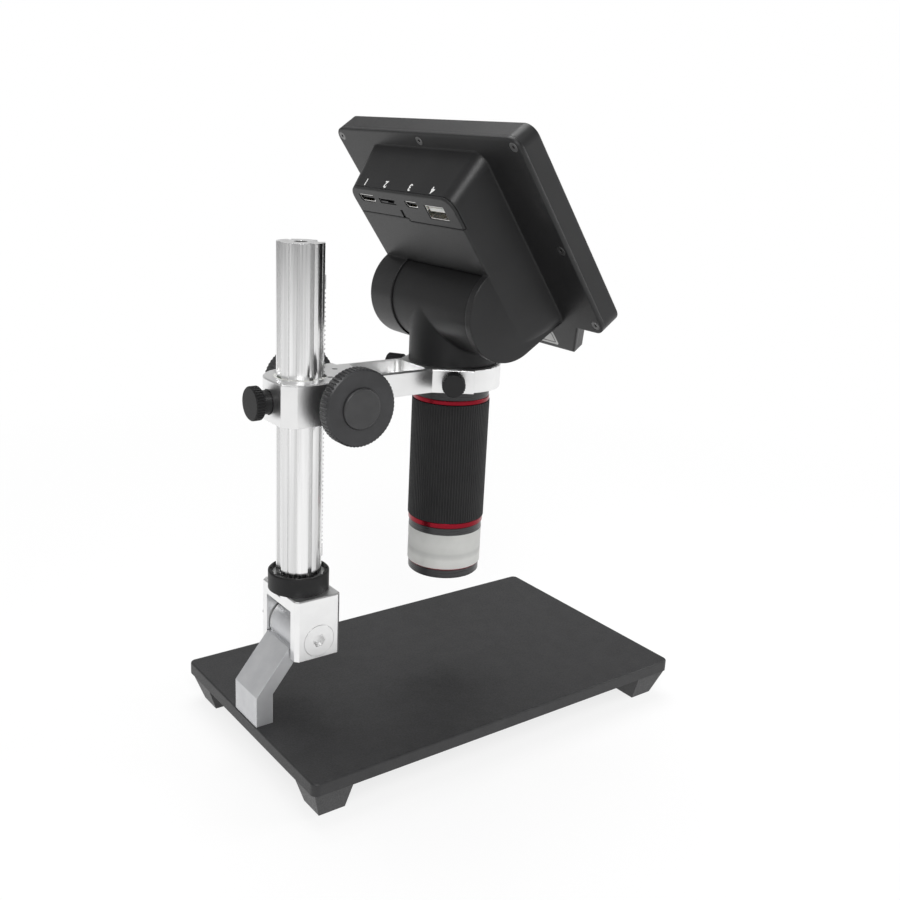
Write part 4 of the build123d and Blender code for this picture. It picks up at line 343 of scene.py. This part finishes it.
# a darker copy of the shell's black plastic: painted shade under the hump's rear, with wide rounded edges to
# soften the crease
moulded_neck_painted_shade = finish(
    "moulded_neck_painted_shade", (0.0090, 0.0090, 0.0095), (0.0115, 0.0115, 0.0120), (0.36, 0.48), grain=3000,
    patch=60, depth_mm=0.010, edge_mm=1.8, Specular_IOR_Level=0.28)
button_black = finish(
    "button_black", (0.035, 0.035, 0.036), (0.045, 0.045, 0.046), (0.34, 0.44), grain=3000,
    depth_mm=0.006)
contact_black = finish(
    "contact_black", (0.010, 0.010, 0.010), (0.016, 0.016, 0.016), (0.40, 0.52), depth_mm=0.004,
    edge_mm=0.05)
white_nylon = finish(
    "white_nylon", (0.74, 0.73, 0.68), (0.82, 0.81, 0.77), (0.38, 0.52), depth_mm=0.008,
    Subsurface_Weight=0.1)
frosted_plastic = finish(
    "frosted_plastic", (0.80, 0.805, 0.78), (0.87, 0.875, 0.85), (0.40, 0.52), grain=1800,
    depth_mm=0.02, Transmission_Weight=0.35, IOR=1.46)
# painted light and shade on the hood: a brighter rim and light band, and a darker band where the tube's end
# shades it
shade_by_height(frosted_plastic, HOOD_PAINTED_SHADE)
solder_mask = finish(
    "solder_mask", (0.008, 0.085, 0.032), (0.015, 0.14, 0.055), (0.24, 0.40), grain=1400,
    patch=700, depth_mm=0.01)
led_epoxy = finish(
    "led_epoxy", (0.86, 0.84, 0.68), (0.94, 0.92, 0.80), (0.10, 0.22), depth_mm=0.003,
    Transmission_Weight=0.3)
dark_panel = finish(
    "dark_panel", (0.006, 0.0065, 0.008), (0.009, 0.0095, 0.011), (0.10, 0.18), depth_mm=0.001,
    Coat_Weight=0.6, Coat_Roughness=0.04)
clear_glass = finish(
    "clear_glass", (0.93, 0.95, 0.95), (0.96, 0.97, 0.97), (0.02, 0.05), depth_mm=0.0005,
    Transmission_Weight=1.0)
ribbed_rubber = finish(
    "ribbed_rubber", (0.0070, 0.0070, 0.0075), (0.0095, 0.0095, 0.0100), (0.50, 0.64), grain=2200,
    depth_mm=0.012, edge_mm=0.12, Specular_IOR_Level=0.38)
foot_rubber = finish(
    "foot_rubber", (0.020, 0.020, 0.020), (0.030, 0.030, 0.030), (0.60, 0.76), grain=1400,
    depth_mm=0.04)
white_print = finish(
    "white_print", (0.70, 0.70, 0.69), (0.80, 0.80, 0.79), (0.46, 0.58), grain=4000, depth_mm=0.004,
    edge_mm=0.02)
label_paper = finish(
    "label_paper", (0.62, 0.62, 0.61), (0.70, 0.70, 0.69), (0.40, 0.52), grain=3200, depth_mm=0.006,
    edge_mm=0.05)
label_ink = finish(
    "label_ink", (0.10, 0.10, 0.10), (0.16, 0.16, 0.16), (0.50, 0.60), grain=3200, depth_mm=0.004,
    edge_mm=0.02)

slot_finishes = {
    "black_base": powder_coat,
    "silver_bracket": blasted,
    "bright_aluminium": satin_aluminium,
    "column_aluminium": extruded_aluminium,
    "black_aluminium": black_anodised,
    "red_aluminium": red_anodised,
    "steel": machined_steel,
    "black_steel": black_oxide,
    "chrome_shell": plated_shell,
    "brass": bush_brass,
    "black_plastic": moulded_black,
    "button_plastic": button_black,
    "nylon": white_nylon,
    "frosted_plastic": frosted_plastic,
    "green_board": solder_mask,
    "white_led": led_epoxy,
    "lcd": dark_panel,
    "clear_glass": clear_glass,
    "grip_rubber": ribbed_rubber,
    "pad_rubber": foot_rubber,
}
node_finishes = {
    "main_tube": black_turned,
    "lower_collar": black_turned,
    "lens_cap": black_turned,
    "lock_collar": thumb_black,
    "column_lock_screw": thumb_black,
    "ring_screw_near": thumb_black,
    "ring_screw_far": thumb_black,
    "knob_caps": cap_black,
    "rear_cover": moulded_shell,
    "neck_shell": moulded_neck_painted_shade,
    "pivot_bolt": satin_aluminium,
    "cover_screws": small_screw,
}
for subpart in frame["record"]["subparts"]:
    name = subpart["node"]
    nodes[name].data.materials.clear()
    nodes[name].data.materials.append(
        node_finishes.get(name, slot_finishes[subpart["material_slot"]]))


# ------------------------------------------------------------------ tools for new pieces
def add_piece(name, mesh, body, look):
    """A mesh that rides on a CAD body."""
    made = bpy.data.objects.new(name, mesh)
    bpy.context.scene.collection.objects.link(made)
    made.data.materials.clear()
    made.data.materials.append(look)
    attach(made, body)
    return made


def prism(shape, outline, back, front):
    """Add a prism to a mesh: an outline across and up, between two distances out."""
    lower = [shape.verts.new(head_point(across, up, back)) for across, up in outline]
    upper = [shape.verts.new(head_point(across, up, front)) for across, up in outline]
    shape.faces.new(lower[::-1])
    shape.faces.new(upper)
    for start in range(len(outline)):
        end = (start + 1) % len(outline)
        shape.faces.new((lower[start], lower[end], upper[end], upper[start]))


def frame_prism(shape, outer, inner, back, front):
    """Add a prism with a hole: two outlines with as many points each."""
    rings = [[shape.verts.new(head_point(across, up, out)) for across, up in outline]
             for outline in (outer, inner) for out in (back, front)]
    outer_back, outer_front, inner_back, inner_front = rings
    for start in range(len(outer)):
        end = (start + 1) % len(outer)
        shape.faces.new((outer_front[start], outer_front[end], inner_front[end], inner_front[start]))
        shape.faces.new((outer_back[end], outer_back[start], inner_back[start], inner_back[end]))
        shape.faces.new((outer_back[start], outer_back[end], outer_front[end], outer_front[start]))
        shape.faces.new((inner_back[end], inner_back[start], inner_front[start], inner_front[end]))


def rectangle(across, up, width, height):
    """A rectangle's outline round its middle."""
    left, right = across - width / 2, across + width / 2
    bottom, top = up - height / 2, up + height / 2
    return [(left, bottom), (right, bottom), (right, top), (left, top)]


def rounded_rectangle(across, up, width, height, radius, steps=6):
    """A rectangle's outline with round corners."""
    outline = []
    for quarter, (side, level) in enumerate(((1, 1), (-1, 1), (-1, -1), (1, -1))):
        middle = (across + side * (width / 2 - radius), up + level * (height / 2 - radius))
        for step in range(steps + 1):
            angle = (quarter + step / steps) * pi / 2
            outline.append((middle[0] + radius * cos(angle), middle[1] + radius * sin(angle)))
    return outline


def circle(across, up, radius, steps=32):
    """A circle's outline."""
    return [(across + radius * cos(2 * pi * step / steps), up + radius * sin(2 * pi * step / steps))
            for step in range(steps)]


def mesh_from(name, shape):
    """Close a bmesh into a mesh."""
    mesh = bpy.data.meshes.new(name)
    shape.to_mesh(mesh)
    shape.free()
    return mesh


def digit_mesh(name, digit, place, right, up, size):
    """A printed digit: a thin solid lying in the plane of two directions."""
    curve = bpy.data.curves.new(name, "FONT")
    curve.body = digit
    curve.size = size * MM
    curve.align_x = "CENTER"
    curve.align_y = "CENTER"
    curve.extrude = PRINT_THICKNESS * MM
    curve.offset = PRINT_BOLDNESS * MM
    shaped = bpy.data.objects.new(name, curve)
    bpy.context.scene.collection.objects.link(shaped)
    bpy.context.view_layer.update()
    mesh = bpy.data.meshes.new_from_object(shaped)
    bpy.data.objects.remove(shaped)
    turn = Matrix((right, up, right.cross(up))).transposed().to_4x4()
    mesh.transform(Matrix.Translation(place) @ turn)
    return mesh


# ------------------------------------------------------------------ digits over the sockets
slope_rise = HUMP_TOP_AT_COVER - HUMP_TOP
slope_run = COVER_REAR - HUMP_REAR
slope_length = (slope_rise ** 2 + slope_run ** 2) ** 0.5
slope_back = -(slope_rise * SCREEN_UP + slope_run * SCREEN_OUT) / slope_length
setback_share = NUMBER_SETBACK / slope_length
for number, across in enumerate(SOCKET_NUMBERS, start=1):
    on_slope = head_point(
        across, HUMP_TOP + slope_rise * setback_share, HUMP_REAR + slope_run * setback_share)
    digit = digit_mesh(f"socket_number_{number}", str(number), on_slope, ACROSS, slope_back,
                       NUMBER_SIZE)
    add_piece(f"socket_number_{number}", digit, "screen_head", white_print)

# ------------------------------------------------------------------ insides of the sockets
for name, across, up, width, thickness, count, contact_width in PLUG_SOCKETS:
    skin = bmesh.new()
    mouth = SOCKET_MOUTH + TONGUE_SETBACK - TONGUE_SKIN
    prism(skin, rectangle(across, up, width + 2 * TONGUE_SKIN, thickness + 2 * TONGUE_SKIN),
          mouth, SOCKET_MOUTH + TONGUE_DEPTH)
    tongue_look = white_nylon if name == "usb" else contact_black
    add_piece(f"{name}_tongue", mesh_from(f"{name}_tongue", skin), "screen_head", tongue_look)
    strips = bmesh.new()
    pitch = width / count
    for index in range(count):
        middle = across + (index - (count - 1) / 2) * pitch
        level = up - thickness / 2 - TONGUE_SKIN - CONTACT_PROUD / 2
        prism(strips, rectangle(middle, level, contact_width, CONTACT_PROUD),
              mouth + CONTACT_SETBACK, SOCKET_MOUTH + TONGUE_DEPTH)
    add_piece(f"{name}_contacts", mesh_from(f"{name}_contacts", strips), "screen_head",
              gold_contact)

# ------------------------------------------------------------------ bare label on the tab
label = bmesh.new()
prism(label, rounded_rectangle(*LABEL_AT, *LABEL_SIZE, LABEL_CORNER),
      COVER_REAR - LABEL_THICKNESS, COVER_REAR)
add_piece("tab_label", mesh_from("tab_label", label), "screen_head", label_paper)
label_line = bmesh.new()
line_outer = [size - 2 * LABEL_LINE_INSET for size in LABEL_SIZE]
line_inner = [size - 2 * LABEL_LINE_WIDTH for size in line_outer]
line_outside, line_inside = (
    rounded_rectangle(*LABEL_AT, *size, corner)
    for size, corner in zip((line_outer, line_inner), LABEL_LINE_CORNERS))
frame_prism(label_line, line_outside, line_inside,
            COVER_REAR - LABEL_THICKNESS - PRINT_THICKNESS, COVER_REAR - LABEL_THICKNESS)
add_piece("tab_label_line", mesh_from("tab_label_line", label_line), "screen_head", label_ink)


# ------------------------------------------------------------------ signs over the buttons
SIGN_TOP = TAB_FRONT + PRINT_THICKNESS


def ring_sign(shape, across, bore_r):
    """A printed ring."""
    frame_prism(shape, circle(across, SIGN_UP, SIGN_R), circle(across, SIGN_UP, bore_r),
                TAB_FRONT, SIGN_TOP)


def power_sign(shape, across):
    """A ring with a stroke at its top."""
    ring_sign(shape, across, POWER_BORE_R)
    prism(shape, rectangle(across, SIGN_UP + POWER_STROKE_LIFT, *POWER_STROKE), TAB_FRONT,
          SIGN_TOP + PRINT_THICKNESS)


def arrow_sign(shape, across, side):
    """A triangle that points to one side."""
    points = [(across - ARROW_BACK, SIGN_UP - ARROW_HALF_HEIGHT), (across + ARROW_TIP, SIGN_UP),
              (across - ARROW_BACK, SIGN_UP + ARROW_HALF_HEIGHT)]
    if side < 0:
        points = [(2 * across - x, up) for x, up in points][::-1]
    prism(shape, points, TAB_FRONT, SIGN_TOP)


def dot_sign(shape, across):
    """A ring round a dot."""
    ring_sign(shape, across, DOT_BORE_R)
    prism(shape, circle(across, SIGN_UP, DOT_R), TAB_FRONT, SIGN_TOP)


def bars_sign(shape, across):
    """Three bars, one over the other."""
    for step in (-1, 0, 1):
        prism(shape, rectangle(across, SIGN_UP + step * BAR_PITCH, *BAR_SIZE), TAB_FRONT, SIGN_TOP)


button_places = [(index - (BUTTONS - 1) / 2) * BUTTON_PITCH for index in range(BUTTONS)]
signs = bmesh.new()
power_sign(signs, button_places[0])
arrow_sign(signs, button_places[1], -1)
dot_sign(signs, button_places[2])
arrow_sign(signs, button_places[3], 1)
bars_sign(signs, button_places[4])
add_piece("button_signs", mesh_from("button_signs", signs), "screen_head", white_print)

# ------------------------------------------------------------------ floor
floor_shape = bmesh.new()
bmesh.ops.create_grid(floor_shape, x_segments=1, y_segments=1, size=FLOOR_HALF_SIZE)
floor = bpy.data.objects.new("floor", mesh_from("floor", floor_shape))
bpy.context.scene.collection.objects.link(floor)
floor_look = bpy.data.materials.new("pale_floor")
floor_look.use_nodes = True
floor_tree = floor_look.node_tree
floor_shader = floor_tree.nodes["Principled BSDF"]
floor_shader.inputs["Base Color"].default_value = (*FLOOR_COLOR, 1)
floor_shader.inputs["Roughness"].default_value = FLOOR_ROUGHNESS
floor_white = node(floor_tree, "ShaderNodeEmission", Strength=1.0)
floor_place = floor_tree.nodes.new("ShaderNodeTexCoord")
floor_distance = floor_tree.nodes.new("ShaderNodeVectorMath")
floor_distance.operation = "LENGTH"
floor_tree.links.new(floor_place.outputs["Object"], floor_distance.inputs[0])
distance = floor_distance.outputs["Value"]
white_share = spread(floor_tree, distance, FLOOR_SEEN_WHITE, 1.0, *FLOOR_FADE)
gloss_share = spread(floor_tree, distance, FLOOR_GLOSS, 0.0, *FLOOR_GLOSS_FADE)
gloss_rays = floor_tree.nodes.new("ShaderNodeLightPath").outputs["Is Glossy Ray"]
floor_seen = math_node(
    floor_tree, "MAXIMUM",
    math_node(floor_tree, "MULTIPLY", white_share, seen_as_background(floor_tree)),
    math_node(floor_tree, "MULTIPLY", gloss_share, gloss_rays))
floor_mix = floor_tree.nodes.new("ShaderNodeMixShader")
floor_tree.links.new(floor_seen, floor_mix.inputs["Fac"])
floor_tree.links.new(floor_shader.outputs["BSDF"], floor_mix.inputs[1])
floor_tree.links.new(floor_white.outputs["Emission"], floor_mix.inputs[2])
floor_tree.links.new(floor_mix.outputs[0], floor_tree.nodes["Material Output"].inputs["Surface"])
floor.data.materials.append(floor_look)

# ------------------------------------------------------------------ world and lamps
world = bpy.data.worlds.new("studio")
bpy.context.scene.world = world
world.use_nodes = True
world_tree = world.node_tree
backdrop = world_tree.nodes["Background"]
backdrop.inputs["Color"].default_value = (1, 1, 1, 1)
view = world_tree.nodes.new("ShaderNodeTexCoord").outputs["Generated"]
view_parts = world_tree.nodes.new("ShaderNodeSeparateXYZ")
world_tree.links.new(view, view_parts.inputs["Vector"])
room_light = spread(world_tree, view_parts.outputs["Z"], WORLD_AT_HORIZON, WORLD_OVERHEAD,
                    *WORLD_FADE)
world_strength = math_node(
    world_tree, "MAXIMUM", room_light, seen_as_background(world_tree))
world_tree.links.new(world_strength, backdrop.inputs["Strength"])

for name, place, size, power in SOFTBOXES:
    lamp = bpy.data.lights.new(name, "AREA")
    lamp.size = size
    lamp.energy = power
    softbox = bpy.data.objects.new(name, lamp)
    bpy.context.scene.collection.objects.link(softbox)
    softbox.location = place
    aim = Vector(SOFTBOX_AIM) - Vector(place)
    softbox.rotation_euler = aim.to_track_quat("-Z", "Y").to_euler()

# ------------------------------------------------------------------ camera
camera_data = bpy.data.cameras.new("camera")
camera_data.lens = CAMERA_LENS
camera_data.sensor_width = CAMERA_SENSOR
camera_data.clip_start, camera_data.clip_end = CAMERA_CLIP
camera = bpy.data.objects.new("camera", camera_data)
bpy.context.scene.collection.objects.link(camera)
ahead = Vector((
    cos(CAMERA_PITCH) * sin(CAMERA_YAW),
    cos(CAMERA_PITCH) * cos(CAMERA_YAW),
    sin(CAMERA_PITCH),
))
level_right = ahead.cross(Vector((0, 0, 1))).normalized()
level_up = level_right.cross(ahead)
view_right = cos(CAMERA_ROLL) * level_right + sin(CAMERA_ROLL) * level_up
view_up = -sin(CAMERA_ROLL) * level_right + cos(CAMERA_ROLL) * level_up
camera_turn = Matrix((view_right, view_up, -ahead)).transposed().to_4x4()
camera.matrix_world = Matrix.Translation(CAMERA_AT) @ camera_turn
bpy.context.scene.camera = camera
bpy.context.scene.view_settings.view_transform = "Standard"
